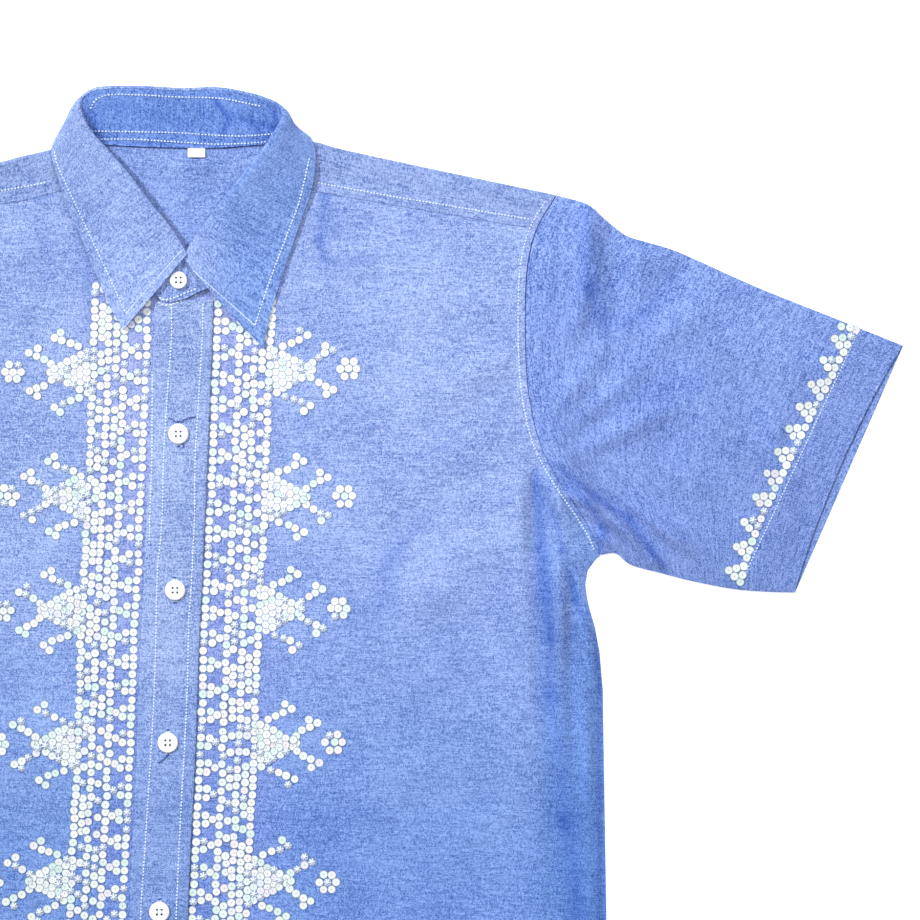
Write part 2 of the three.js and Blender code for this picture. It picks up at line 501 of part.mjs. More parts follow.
function makeLeaf() {
  const rows = collar.slice(STATION.leafStart, STATION.leafEnd + 1);
  const stations = stationsOf(rows, 1.5);
  const net = stations.map(([neck, roll, middle, edge], i) => {
    const before = stations[Math.max(i - 1, 0)][1];
    const after = stations[Math.min(i + 1, stations.length - 1)][1];
    const down = neck.clone().sub(roll).normalize();
    const out = after.clone().sub(before).cross(down).normalize();
    const from = (back, away) => roll.clone().addScaledVector(down, -back).addScaledVector(out, away);
    const fall = new THREE.CatmullRomCurve3([from(2.3, 1.0), from(1.6, 3.1), middle, edge], false, "centripetal");
    return [from(1.1, 0), from(2.3, 1.0), from(1.6, 3.1), fall.getPoint(0.5), middle, fall.getPoint(0.84), edge];
  });
  return thick("collar_leaf", cloth, net, LEAF_HALF);
}

// Buttons, turned with a rim and drilled with four holes.
const wasm = await Module();
wasm.setup();

function cutter(geometry) {
  const bare = geometry.index ? geometry.toNonIndexed() : geometry;
  const mesh = new wasm.Mesh({
    numProp: 3,
    vertProperties: new Float32Array(bare.attributes.position.array),
    triVerts: Uint32Array.from({ length: bare.attributes.position.count }, (_, i) => i),
  });
  mesh.merge();
  return new wasm.Manifold(mesh);
}

function makeButton(name, radius, x, y, z) {
  const { thick: tall, hole, spread } = BUTTON;
  const profile = [
    [0, 0], [radius - 0.5, 0], [radius, 0.6], [radius - 0.2, tall - 0.3], [radius - 0.8, tall],
    [radius - 1.5, tall - 0.2], [radius - 2.2, tall - 0.7], [0, tall - 0.8],
  ].map(([r, h]) => plan(r, h));
  let body = cutter(new THREE.LatheGeometry(profile, 20).rotateX(Math.PI / 2));
  for (const [sx, sy] of [[-1, -1], [1, -1], [-1, 1], [1, 1]]) {
    const drill = new THREE.CylinderGeometry(hole, hole, 6, 8).rotateX(Math.PI / 2)
      .translate(sx * spread, sy * spread, 0);
    body = body.subtract(cutter(drill));
  }
  const { vertProperties, triVerts, numProp } = body.getMesh();
  const spots = Array.from(triVerts, (v) => new THREE.Vector3(
    vertProperties[v * numProp] + x, vertProperties[v * numProp + 1] + y, vertProperties[v * numProp + 2] + z,
  ));
  return solid(name, pearl, spots);
}

function makeButtons() {
  const onBand = 2 * LAYER + CLOTH + GAP;
  const rows = buttonRows.map((y, i) => makeButton(`button_${i + 2}`, BUTTON.radius, across(bandLine, y), y, onBand));
  return [makeButton("button_1", TOP_BUTTON_RADIUS, topButton.x, topButton.y, topButton.z), ...rows];
}

function makeLabel() {
  const net = evenly(1).map((v) => evenly(2).map((u) => plan(LABEL.x + u * LABEL.wide, LABEL.y + v * LABEL.deep)));
  const level = CLOTH + GAP;
  const at = (extra) => net.map((row) => row.map((p) => spot(p, level + extra + overLeaf(p.x, p.y))));
  return shell("neck_label", tape, at(LABEL.thick), at(0));
}

const shirt = new THREE.Group();
shirt.name = "shirt";
shirt.add(
  makeBack(),
  makeFront("front_right", -1),
  makeFront("front_left", 1),
  makeYoke(),
  makeSleeve("sleeve_right", -1),
  makeSleeve("sleeve_left", 1),
  makeBand(),
  makeStand(),
  makeLeaf(),
  makeLabel(),
  ...makeButtons(),
);

export default shirt;
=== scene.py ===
"""A short-sleeved chambray shirt, buttoned and laid flat on its back, its fronts and sleeve hems
trimmed with flat sequins. Sizes are in millimetres and become metres where a mesh is made."""

import math

import bmesh
import bpy
import numpy as np
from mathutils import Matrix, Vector
from mathutils.bvhtree import BVHTree


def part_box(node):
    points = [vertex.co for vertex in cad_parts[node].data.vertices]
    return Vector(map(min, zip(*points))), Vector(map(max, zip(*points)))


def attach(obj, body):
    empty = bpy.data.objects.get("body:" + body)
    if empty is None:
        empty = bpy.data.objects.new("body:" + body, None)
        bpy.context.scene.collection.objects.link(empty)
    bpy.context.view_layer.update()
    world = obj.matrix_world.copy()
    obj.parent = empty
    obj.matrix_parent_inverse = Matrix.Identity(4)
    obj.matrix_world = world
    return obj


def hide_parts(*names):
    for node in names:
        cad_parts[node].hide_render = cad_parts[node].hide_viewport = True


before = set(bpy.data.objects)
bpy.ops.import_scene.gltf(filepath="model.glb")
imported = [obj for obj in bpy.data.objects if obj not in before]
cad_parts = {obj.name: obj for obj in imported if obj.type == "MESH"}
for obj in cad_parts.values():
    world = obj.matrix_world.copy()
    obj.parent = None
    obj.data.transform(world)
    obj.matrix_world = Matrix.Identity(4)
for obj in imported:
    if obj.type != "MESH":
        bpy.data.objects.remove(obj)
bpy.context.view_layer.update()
MM = 0.001


def linked(name, data):
    """Puts a mesh, lamp or camera in the scene."""
    made = bpy.data.objects.new(name, data)
    bpy.context.scene.collection.objects.link(made)
    return made


# Camera, straight above the wearer's left chest.
CAMERA_AT = (0.1807, 0.14885, 2.2)
SEEN_WIDE = 0.598
camera_data = bpy.data.cameras.new("camera")
camera_data.sensor_width = 36
camera_data.lens = camera_data.sensor_width * CAMERA_AT[2] / SEEN_WIDE
camera = linked("camera", camera_data)
camera.location = CAMERA_AT
bpy.context.scene.camera = camera

# ---------------------------------------------------------------- back panel
# The body's back: one flat width of chambray from hem to yoke. It lies on the surface, under
# everything else, so only its side edges and its underside ever show.
CLOTH = 1.0
GAP = 0.3
LAYER = CLOTH + GAP
SEAM = 0.01
HEM_Y = -390.61
BACK_TOP, YOKE_MEETS_ARM = 261.3, 298.7
side_seam = np.array([
    (277.0, -390.65), (276.6, -270), (275.8, -148.8), (274.2, -50.7), (273.4, 0), (271.3, 24.1),
    (268.3, 40.3), (264.2, 54.0), (262.0, 66.0), (263.1, 76.4), (266.5, 82.5), (272.4, 87.1),
])
armhole = np.array([
    (272.4, 87.1), (268.6, 96.9), (259.0, 113.8), (245.1, 134.6), (232.7, 158.6), (225.9, 186.6),
    (223.6, 207.3), (222.8, 234.3), (224.2, 274.6), (230.1, 298.7), (243.1, 321.1),
])


def bend(points, per=16):
    """A smooth line through points, as a close run of short steps."""
    p = np.asarray(points, float)
    p = np.vstack([2 * p[0] - p[1], p, 2 * p[-1] - p[-2]])
    step = np.maximum(np.sum(np.diff(p, axis=0) ** 2, axis=1) ** 0.25, 1e-6)
    t = np.linspace(0, 1, per, endpoint=False)[:, None]
    runs = []
    for i in range(len(p) - 3):
        a, b, c, d = p[i:i + 4]
        before, here, after = step[i:i + 3]
        start = ((b - a) / before - (c - a) / (before + here) + (c - b) / here) * here
        end = ((c - b) / here - (d - b) / (here + after) + (d - c) / after) * here
        runs.append((2 * t**3 - 3 * t**2 + 1) * b + (t**3 - 2 * t**2 + t) * start
                    + (3 * t**2 - 2 * t**3) * c + (t**3 - t**2) * end)
    return np.vstack([*runs, p[-2][None]])


class Path:
    """A line that is read by its share of length, from 0 to 1."""

    def __init__(self, points, share=None):
        self.points = np.asarray(points, float)
        if share is None:
            step = np.linalg.norm(np.diff(self.points, axis=0), axis=1)
            share = np.concatenate([[0], np.cumsum(step)]) / step.sum()
        self.share = share

    def __call__(self, t):
        return np.stack([np.interp(t, self.share, axis) for axis in self.points.T], -1)

    def moved(self, dx, dy):
        return Path(self.points + (dx, dy), self.share)

    def turned_back(self):
        return Path(self.points[::-1], 1 - self.share[::-1])


def chain(paths, ends):
    """Lines end to end, each with its share of the whole."""
    starts = [0, *ends[:-1]]
    share = [start + path.share * (end - start) for path, start, end in zip(paths, starts, ends)]
    return Path(np.vstack([path.points for path in paths]), np.concatenate(share))


def between_heights(line, low, high, side=1, inset=0.0, count=160):
    """The part of a rising line between two heights, on the side given by 1 or -1."""
    y = np.linspace(low, high, count)
    x = np.interp(y, line[:, 1], line[:, 0]) - inset
    return Path(np.stack([side * x, y], -1))


def patch(bottom, top, left, right, us, vs):
    """Points inside four edge lines, a row for each v and a column for each u."""
    u, v = us[None, :, None], vs[:, None, None]
    corners = ((1 - u) * (1 - v) * bottom(0.0) + u * (1 - v) * bottom(1.0)
               + (1 - u) * v * top(0.0) + u * v * top(1.0))
    return ((1 - v) * bottom(us)[None] + v * top(us)[None]
            + (1 - u) * left(vs)[:, None] + u * right(vs)[:, None] - corners)


def with_height(net, z):
    return np.concatenate([net, np.broadcast_to(np.asarray(z)[..., None], (*net.shape[:2], 1))], -1)


def make_object(name, spots, faces, finish, grain=None, sharp=50):
    """A smooth mesh in the scene, with creases where faces meet at more than sharp degrees."""
    mesh = bpy.data.meshes.new(name)
    mesh.from_pydata((np.asarray(spots) * MM).tolist(), [], np.asarray(faces, object).tolist())
    if grain is not None:
        layer = mesh.uv_layers.new(name="grain")
        corner = np.zeros(len(mesh.loops), np.int32)
        mesh.loops.foreach_get("vertex_index", corner)
        layer.data.foreach_set("uv", np.asarray(grain, np.float32)[corner].ravel())
    mesh.polygons.foreach_set("use_smooth", np.ones(len(mesh.polygons), bool))
    mesh.set_sharp_from_angle(angle=math.radians(sharp))
    mesh.materials.append(finish)
    mesh.update()
    return linked(name, mesh)


def settle(piece, slot, node=None, **cut):
    """Rides a finished piece on the shirt's one body."""
    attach(piece, "root")
    if node:
        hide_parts(node)
    return piece


def wall(name, outer, inner, grain, finish, keep=None, ring=False):
    """A closed wall between two nets of points. keep marks the cells that it has, and ring says
    that its columns run round and meet. grain holds the cloth's own flat place of each point."""
    rows, cols = outer.shape[:2]
    total = rows * cols
    last = cols if ring else cols - 1
    index = np.arange(total).reshape(rows, cols)
    following = (np.arange(last) + 1) % cols
    a, b = index[:-1, :last], index[:-1][:, following]
    d, c = index[1:, :last], index[1:][:, following]
    live = np.ones((rows - 1, last), bool) if keep is None else keep
    framed = np.pad(live, 1)
    if ring:
        framed[:, 0], framed[:, -1] = framed[:, -2], framed[:, 1]
    parts = [np.stack([a, b, c, d], -1)[live], np.stack([d, c, b, a], -1)[live] + total]
    rims = [
        (framed[:-2, 1:-1], a, b), (framed[2:, 1:-1], c, d),
        (framed[1:-1, :-2], d, a), (framed[1:-1, 2:], b, c),
    ]
    for neighbour, p, q in rims:
        edge = live & ~neighbour
        parts.append(np.stack([p + total, q + total, q, p], -1)[edge])
    faces = np.vstack(parts)
    spots = np.vstack([outer.reshape(-1, 3), inner.reshape(-1, 3)])
    p = spots[faces]
    volume = (np.einsum("ij,ij->i", p[:, 0], np.cross(p[:, 1], p[:, 2])).sum()
              + np.einsum("ij,ij->i", p[:, 0], np.cross(p[:, 2], p[:, 3])).sum())
    if volume < 0:
        faces = faces[:, ::-1]
    used = np.unique(faces)
    renumber = np.zeros(len(spots), int)
    renumber[used] = np.arange(len(used))
    flat = np.vstack([grain.reshape(-1, 2)] * 2)
    return make_object(name, spots[used], renumber[faces], finish, flat[used])


class Socket:
    """A socket of a node tree, so that its maths reads as plain expressions."""

    def __init__(self, plug):
        self.plug = plug

    def also(self, name):
        """Another output of the same node."""
        return Socket(self.plug.node.outputs[name])

    def maths(self, operation, first, second=0.0):
        return new_node(self.plug.id_data, "ShaderNodeMath", {"operation": operation},
                        {0: first, 1: second})

    def __add__(self, other):
        return self.maths("ADD", self, other)

    def __sub__(self, other):
        return self.maths("SUBTRACT", self, other)

    def __rsub__(self, other):
        return self.maths("SUBTRACT", other, self)

    def __mul__(self, other):
        return self.maths("MULTIPLY", self, other)

    __radd__ = __add__
    __rmul__ = __mul__


def new_node(tree, kind, settings=None, inputs=None, output=0):
    """A node with its settings and inputs, which may be sockets or values. Gives one output."""
    made = tree.nodes.new(kind)
    for key, value in (settings or {}).items():
        if key == "stops":
            stops = made.color_ramp.elements
            while len(stops) < len(value):
                stops.new(0.5)
            for stop, (at, colour) in zip(stops, value):
                stop.position, stop.color = at, (*colour, 1)
        else:
            setattr(made, key, value)
    for key, value in (inputs or {}).items():
        if isinstance(value, Socket):
            tree.links.new(value.plug, made.inputs[key])
        else:
            made.inputs[key].default_value = value
    return Socket(made.outputs[output]) if len(made.outputs) else None


class Finish:
    """A material with one shader, whose constant sockets are set by name."""

    def __init__(self, name, **constants):
        self.material = bpy.data.materials.new(name)
        self.material.use_nodes = True
        self.tree = self.material.node_tree
        self.shader = self.tree.nodes["Principled BSDF"]
        for socket, value in constants.items():
            self.shader.inputs[socket.replace("_", " ").title().replace("Ior", "IOR")].default_value = value

    def node(self, kind, settings=None, inputs=None, output=0):
        return new_node(self.tree, kind, settings, inputs, output)

    def noise(self, scale, detail=None, place=None):
        """Soft noise through the piece itself, or over a flat place."""
        inputs = {"Vector": place or self.node("ShaderNodeTexCoord", output=3), "Scale": scale}
        if detail is not None:
            inputs["Detail"] = detail
        return self.node("ShaderNodeTexNoise", {"noise_dimensions": "2D" if place else "3D"}, inputs)

    def ramp(self, factor, *stops):
        """The colour at a factor, between stops of a place and a colour."""
        return self.node("ShaderNodeValToRGB", {"stops": stops}, {0: factor})

    def attribute(self, name, output=2):
        """A number kept at each point, or with output 1 a vector."""
        return self.node("ShaderNodeAttribute", {"attribute_name": name}, output=output)

    def blend(self, factor, first, second, mode="MIX"):
        """Mixes two colours."""
        colours = [c if isinstance(c, Socket) else (*c, 1) for c in (first, second)]
        return self.node("ShaderNodeMix", {"data_type": "RGBA", "blend_type": mode},
                         {0: factor, 6: colours[0], 7: colours[1]}, output=2)

    def feed(self, socket, value):
        self.tree.links.new(value.plug, self.shader.inputs[socket])

    def bump(self, height, depth):
        """Raises the surface by height times depth, in metres."""
        self.feed("Normal", self.node("ShaderNodeBump", {}, {
            "Strength": 1.0, "Distance": depth, "Height": height}))


YARN, WARP_SLUB, WEFT_SLUB = 0.62, 2.1, 6.5
# Multiplying tints for the cloths' rows: a plain darker one, and a painted shade for the body's sides.
DARKER_TINT, SIDE_SHADE_TINT = (0.58, 0.75, 0.92), (0.56, 0.72, 0.86)


def chambray(name, deep, fair, tint_rows=(), clouds=0.6):
    """Plain weave of blue warp and white weft. Slubs in both yarns give short streaks along and
    across, and the blue takes a little unevenly. The pattern lies on the cloth's own grain.
    Each row of the list that tints the cloth is an axis, where its tint begins, where it is full, how
    much, and a tint where it isn't plain blue; most rows paint light or shade, as said at each cloth.
    clouds is how unevenly the blue takes."""
    finish = Finish(name, roughness=0.86, specular_ior_level=0.18, sheen_weight=0.12,
                    sheen_roughness=0.5)
    flat = finish.node("ShaderNodeUVMap", {"uv_map": "grain"})

    def chance(place, cell):
        """A chance value for each cell of the place, and the same throughout it."""
        snapped = finish.node("ShaderNodeVectorMath", {"operation": "SNAP"}, {0: place, 1: (*cell, 1)})
        return finish.node("ShaderNodeTexWhiteNoise", {"noise_dimensions": "2D"}, {"Vector": snapped})

    def slubs(yarn, run, cell):
        """Runs whose ends don't line up from one yarn to the next."""
        shift = finish.node("ShaderNodeVectorMath", {"operation": "SCALE"}, {
            0: (*run, 0), "Scale": chance(flat, yarn)})
        return chance(finish.node("ShaderNodeVectorMath", {"operation": "ADD"}, {0: flat, 1: shift}), cell)

    WHOLE = 5000.0
    warp = slubs((YARN, WHOLE), (0.0, WARP_SLUB), (YARN, WARP_SLUB))
    weft = slubs((WHOLE, YARN), (WEFT_SLUB, 0.0), (WEFT_SLUB, YARN))
    pepper = chance(flat, (YARN, YARN))
    mottle, cloud = finish.noise(0.42, 2.0, flat), finish.noise(0.016, 3.0, flat)
    yarns = warp * 0.18 + weft * 0.25 + pepper * 0.57
    tone = (yarns - 0.5) * 1.4 + 0.5 + (cloud - 0.5) * clouds + (mottle - 0.5) * 0.06
    colour = finish.ramp(tone, (0.02, deep), (0.98, fair))
    checks = finish.node("ShaderNodeTexChecker", {}, {"Vector": flat, "Scale": 1.7}, output=1)
    colour = finish.blend(checks * 0.03, colour, (0.80, 0.84, 0.95))
    axes = finish.node("ShaderNodeSeparateXYZ", {}, {0: finish.node("ShaderNodeTexCoord", output=3)})
    for axis, begin, deep_at, share, *row_tint in tint_rows:
        place = axes.also(axis[-1])
        if axis[0] == "|":
            place = place.maths("ABSOLUTE", place)
        ramp = finish.node("ShaderNodeMapRange", {"interpolation_type": "SMOOTHSTEP"}, {
            0: place, 1: begin * MM, 2: deep_at * MM, 3: 0.0, 4: share})
        colour = finish.blend(ramp, colour, row_tint[0] if row_tint else DARKER_TINT, "MULTIPLY")
    # Painted shade: the cloth darkens along the fold lines marked on it.
    colour = finish.blend(finish.attribute("hollow"), colour, (0.30, 0.46, 0.76), "MULTIPLY")
    finish.feed("Base Color", colour)
    finish.bump(yarns + checks * 0.22, 0.0003)
    return finish.material


# The fronts' rows paint light and shade: darker towards the hem and at the sides (painted shade), lighter
# on the viewer's left (painted light), a pink cast by the band (painted reflection of the sequins), and a
# little darker from 262 mm up.
body_cloth = chambray("chambray", (0.073, 0.150, 0.450), (0.447, 0.562, 0.920), [
    ("Y", 170, -150, 1.0), ("Y", 262, 292, 0.12), ("X", -62, -84, 1.0, (1.06, 1.05, 1.02)),
    ("|X", 224, 240, 0.47, SIDE_SHADE_TINT), ("|X", 238, 262, 0.49, SIDE_SHADE_TINT),
    ("|X", 72, 46, 0.5, (1.10, 0.90, 1.0))], clouds=0.48)
back_tone = chambray("chambray_back", (0.075, 0.155, 0.490), (0.474, 0.578, 0.985), clouds=0.4)


def back_outline(side):
    low = between_heights(side_seam, HEM_Y, side_seam[-1, 1], side)
    high = between_heights(bend(armhole), armhole[0, 1], BACK_TOP, side, SEAM)
    return chain([low, high], [0.72, 1])


edges = {side: back_outline(side) for side in (-1, 1)}
back_net = patch(Path([edges[-1](0.0), edges[1](0.0)]), Path([edges[-1](1.0), edges[1](1.0)]),
                 edges[-1], edges[1], np.linspace(0, 1, 61), np.linspace(0, 1, 71))
back = wall("back_cloth", with_height(back_net, CLOTH), with_height(back_net, 0.0), back_net, back_tone)
settle(back, "cloth", "back", flat=(0.556, 0.655), held="laid", area=0.345)

# ---------------------------------------------------------------- fronts
# Two chambray fronts on the back panel. They carry the laid folds, the air between the layers
# and the drag of the armhole seams. The wearer's left front runs on under the button band.
STAND_UNDER = 11.7
LAP_UNDER = 12
band_line = np.array([(-22.7, -390.65), (-14.9, -144.3), (-9.9, -34.5), (-7.9, 25.4), (-6.0, 64.4),
                      (-4.4, 100), (-2.2, 148.9), (-0.2, 200), (1.6, 254.6)])
yoke_seam = {
    1: np.array([(68.2, 327.2), (93, 322.4), (133.3, 314.9), (186.9, 305.9), (230.1, YOKE_MEETS_ARM)]),
    -1: np.array([(-68.4, 326), (-86, 321.8), (-102, 317.3), (-118, 315.2), (-230.1, YOKE_MEETS_ARM)]),
}
sleeve_top = np.array([
    (243.1, 321.1), (264.2, 314.6), (274.9, 305.5), (289.2, 294.6), (304.2, 289.9), (319.2, 285.4),
    (371.2, 262.3), (428.0, 239.5), (468.65, 223.2),
])
sleeve_under = np.array([
    (272.4, 87.1), (281.4, 88.1), (290.3, 81.3), (311.2, 75.3), (332.1, 70.0), (359.9, 64.8),
    (382.2, 63.1), (398.4, 62.7),
])
# Collar stations: neck seam, stand's top edge, middle of the leaf's fall and the leaf's edge.
collar = np.array([
    (20.2, 263.2, 4.6, 19.5, 272.4, 4.9, 0, 0, 0, 0, 0, 0),
    (10.4, 258.7, 4.6, 12.4, 278.2, 5.4, 0, 0, 0, 0, 0, 0),
    (0, 254.2, 4.6, 3.4, 280.4, 6.6, -16.9, 257.2, 8.2, -37.6, 233.4, 4.6),
    (-12.3, 253.5, 4.5, -3.9, 292.5, 7.4, -25.4, 270.8, 8.7, -46.8, 249.0, 4.4),
    (-23.4, 266.5, 4.2, -10.4, 301.0, 8.8, -31.9, 282.8, 8.9, -53.3, 264.6, 4.3),
    (-39.0, 284.1, 4.1, -21.5, 314.6, 10.2, -41, 298.1, 9.2, -60.5, 281.5, 4.4),
    (-54.0, 302.9, 4.2, -33.8, 330.9, 11.2, -50.4, 314.7, 9.6, -67.0, 298.4, 4.6),
    (-64.4, 322.4, 4.8, -47.5, 347.1, 12.0, -60.8, 330.2, 10, -74.1, 313.3, 5.2),
    (-70.2, 338.7, 5.6, -57.9, 358.8, 12.6, -68.6, 344.9, 10.2, -79.3, 330.9, 6.2),
    (-72.2, 349.1, 5.8, -63.7, 371.2, 13.0, -75.3, 359.2, 9.8, -83.9, 346.1, 6.4),
    (-70.9, 352.3, 5.2, -64.7, 377.4, 13.3, -75.6, 366.6, 7.6, -83.2, 353.9, 3.6),
    (-67.6, 354.3, 4.4, -62.4, 382.2, 13.6, -71.5, 367.3, 4.2, -77.7, 353.3, 1.2),
    (-59.8, 354.9, 4.0, -55.9, 386.1, 13.8, -63.4, 367.3, 2.6, -68.9, 348.4, 0.6),
    (-50.7, 354.9, 3.7, -46.8, 387.4, 14, -51.7, 366.3, 2.0, -56.6, 345.2, 0.6),
    (-27.3, 353.6, 3.6, -25.4, 387.6, 14, -26.4, 365.6, 1.8, -27.3, 343.5, 0.6),
    (-0.7, 352.9, 3.6, 0, 386.1, 14, 0, 364.5, 1.8, 0, 342.9, 0.6),
    (24.7, 352.9, 3.6, 23.4, 386.8, 14, 25.7, 365.2, 1.8, 28.0, 343.5, 0.6),
    (47.5, 354.6, 3.7, 45.5, 382.9, 13.8, 48.8, 364.4, 2.0, 52.0, 345.8, 0.6),
    (57.2, 354.9, 4.0, 55.3, 379.9, 13.6, 60.8, 365.2, 2.8, 66.3, 350.4, 0.6),
    (65.0, 354.3, 4.4, 61.8, 377.0, 13.4, 68.6, 366, 4.4, 75.4, 356.2, 1.2),
    (68.9, 352.3, 5.2, 65.0, 373.8, 13.2, 73.8, 366.2, 7.8, 82.9, 358.4, 3.6),
    (70.2, 348.4, 5.8, 65.7, 368.6, 13.0, 75.9, 359.2, 9.9, 86.4, 350.5, 6.2),
    (70.2, 337.4, 5.6, 59.8, 356.2, 12.4, 73.3, 347.5, 10.2, 86.8, 338.7, 5.8),
    (64.4, 321.8, 4.8, 47.5, 339.3, 11.8, 65.9, 331.2, 9.8, 84.2, 323.1, 5.0),
    (55.3, 302.9, 4.2, 35.1, 323.7, 10.8, 56.7, 315.3, 9.2, 78.3, 306.8, 4.5),
    (42.9, 285.4, 3.9, 23.4, 308.8, 9.4, 47.2, 297.1, 8.6, 70.9, 285.4, 4.2),
    (29.9, 271.1, 3.4, 14.3, 297.1, 7.4, 37, 277.5, 8.2, 63.1, 262.0, 4.2),
    (22.8, 265.9, 3.1, 10.4, 291.9, 6.0, 30.5, 264.5, 8.0, 57.2, 241.8, 4.2),
    (15.6, 261.3, 2.8, 2.8, 278.4, 4.4, 25.6, 250.6, 6.6, 53.0, 221.6, 4.2),
    (2.6, 254.8, 2.2, -1.3, 276.3, 3.0, 0, 0, 0, 0, 0, 0),
    (-12.3, 253.5, 2.2, -13.0, 269.1, 2.9, 0, 0, 0, 0, 0, 0),
])
# Broad folds of the laid cloth: from, to, half width and height.
broad_folds = [
    (252, 308, 247, 240, 8, 2.2), (280, 292, 274, 226, 11, 1.8), (249, 128, 306, 84, 7, 2.0),
    (300, 222, 398, 120, 22, 1.5), (318, 268, 352, 150, 20, 1.4), (242, 90, 250, 2, 8, 2.4),
    (248, 6, 252, -80, 10, 1.8), (256, 76, 266, 36, 7, 1.8), (222, 112, 236, 10, 13, 1.4),
    (90, 240, 200, 196, 34, 1.1), (120, -60, 150, -240, 36, 1.4), (232, -150, 240, -330, 22, 1.6),
    (-250, 304, -246, 236, 9, 2.0), (-282, 288, -270, 230, 11, 1.6), (-252, 124, -310, 86, 8, 2.2),
    (-310, 236, -390, 128, 22, 1.6), (-240, 88, -252, -16, 9, 2.2), (-250, -30, -246, -110, 12, 1.6),
    (-258, 72, -266, 30, 7, 1.6), (-84, 236, -196, 206, 32, 1.1), (-130, -90, -160, -250, 38, 1.4),
    (-236, -170, -230, -340, 22, 1.5),
]
turned_edges = [
    (104, 346, 243, 316, 8, 1.4), (243, 316, 268, 307, 8, 1.4), (268, 307, 290, 290, 8, 1.4),
    (290, 290, 466, 219, 8, 1.4), (292, 86, 392, 68, 7, 0.9), (84, 349, 104, 346, 8, 0.7),
]
# Narrow creases and soft troughs in the same columns, troughs with a height below nought.
creases = [
    (262, 318, 264, 276, 6, 2.2), (264, 276, 253, 222, 7, 2.0), (277, 306, 281, 250, 9, -2.4),
    (270, 310, 272, 258, 13, 1.6), (283, 252, 276, 214, 8, -1.2), (296, 292, 300, 262, 6, 0.7),
    (240, 306, 236, 244, 5, 0.8),
    (236, 172, 288, 236, 9, 2.0), (236, 156, 304, 214, 6, 1.3), (243, 148, 326, 186, 7, 1.4),
    (298, 246, 338, 282, 10, -1.0), (258, 204, 292, 226, 7, -0.9), (300, 222, 344, 250, 9, 1.1),
    (237, 138, 252, 104, 5, 2.0), (244, 98, 247, 22, 6, 1.7), (228, 148, 231, 70, 6, -2.2),
    (218, 150, 220, 62, 9, 1.5), (231, 68, 237, -38, 6, -1.8), (238, -40, 246, -120, 8, -1.3),
    (249, 128, 275, 116, 3.2, 1.8), (275, 116, 300, 90, 3.2, 2.5), (300, 90, 312, 78, 3, 1.7),
    (266, 128, 300, 106, 4, -1.6), (290, 122, 330, 90, 5, 1.7), (258, 112, 288, 96, 3.4, -1.4),
    (272, 106, 276, 90, 3, 1.3), (279, 102, 286, 92, 2.5, 1.0), (306, 110, 340, 84, 6, 1.2),
    (260, 60, 268, 2, 4, 1.4), (262, 10, 266, -90, 5, 1.3), (264, -96, 268, -200, 6, 1.0),
    (250, 60, 256, -60, 5, -1.2), (252, 86, 262, 60, 3, 1.2), (256, 92, 268, 78, 3, 1.0),
    (92, 320, 97, 304, 3, 1.1), (93, 324, 102, 296, 3.5, -0.8), (99, 314, 112, 296, 4, 1.0),
    (96, 274, 144, 290, 8, 1.3), (102, 258, 130, 264, 6, -0.9), (108, 290, 126, 262, 5, 0.7),
    (116, 96, 160, 108, 12, -1.1), (128, 132, 208, 166, 14, 1.4), (140, 68, 204, 50, 14, 1.2),
    (146, 196, 218, 216, 14, 1.2), (170, 186, 226, 232, 10, 1.2), (96, 30, 180, 22, 16, 1.0),
    (142, 40, 232, 144, 16, 1.3), (150, 20, 236, 96, 12, -0.9), (112, -66, 226, -30, 18, 1.2),
    (168, -112, 214, -70, 14, 1.1), (176, 246, 216, 250, 11, 1.0), (120, 236, 180, 262, 12, 0.9),
    (330, 236, 420, 196, 14, 1.2), (336, 180, 392, 110, 10, 1.3), (352, 214, 386, 150, 8, -1.0),
    (300, 150, 344, 128, 10, 1.1), (280, 196, 304, 150, 10, 1.3), (376, 176, 410, 120, 9, 1.0),
    (322, 202, 356, 156, 9, 1.0), (402, 182, 384, 132, 6, -0.9), (414, 214, 426, 196, 6, 0.9),
    (-86, 351, -84, 334, 3, 0.8), (-90, 300, -112, 276, 8, 1.1), (-98, 262, -104, 232, 6, 0.9),
    (-92, 318, -100, 300, 3.5, 0.8), (-106, 236, -90, 190, 9, 0.8),
    (-262, 316, -264, 276, 6, 2.0), (-264, 276, -252, 222, 7, 1.9), (-278, 300, -282, 250, 9, -2.2),
    (-236, 172, -288, 232, 9, 1.9), (-242, 156, -306, 204, 7, 1.5), (-248, 140, -330, 178, 8, 1.4),
    (-238, 138, -253, 104, 5, 1.9), (-244, 96, -248, 24, 6, 1.6), (-228, 146, -232, 60, 6, -2.1),
    (-262, 130, -322, 92, 5, 1.6), (-268, 118, -300, 94, 4, -1.3), (-234, 52, -242, -60, 6, -1.7),
    (-262, 50, -270, -60, 5, 1.3), (-130, 130, -210, 160, 15, 1.3), (-140, 60, -200, 40, 14, 1.2),
    (-110, -60, -220, -36, 18, 1.1), (-330, 230, -420, 190, 14, 1.2), (-340, 176, -396, 112, 10, 1.3),
    (-160, 250, -214, 226, 12, 1.1), (-300, 222, -346, 252, 10, 1.1), (-146, 20, -232, 110, 14, 1.1),
    (60, -180, 190, -210, 20, 1.2), (90, -270, 220, -240, 20, 1.2), (140, -330, 236, -350, 16, 1.1),
    (-70, -200, -200, -180, 20, 1.2), (-90, -280, -220, -300, 20, 1.2), (-236, -150, -246, -290, 8, -1.3),
    (238, -150, 248, -300, 8, -1.3),
]
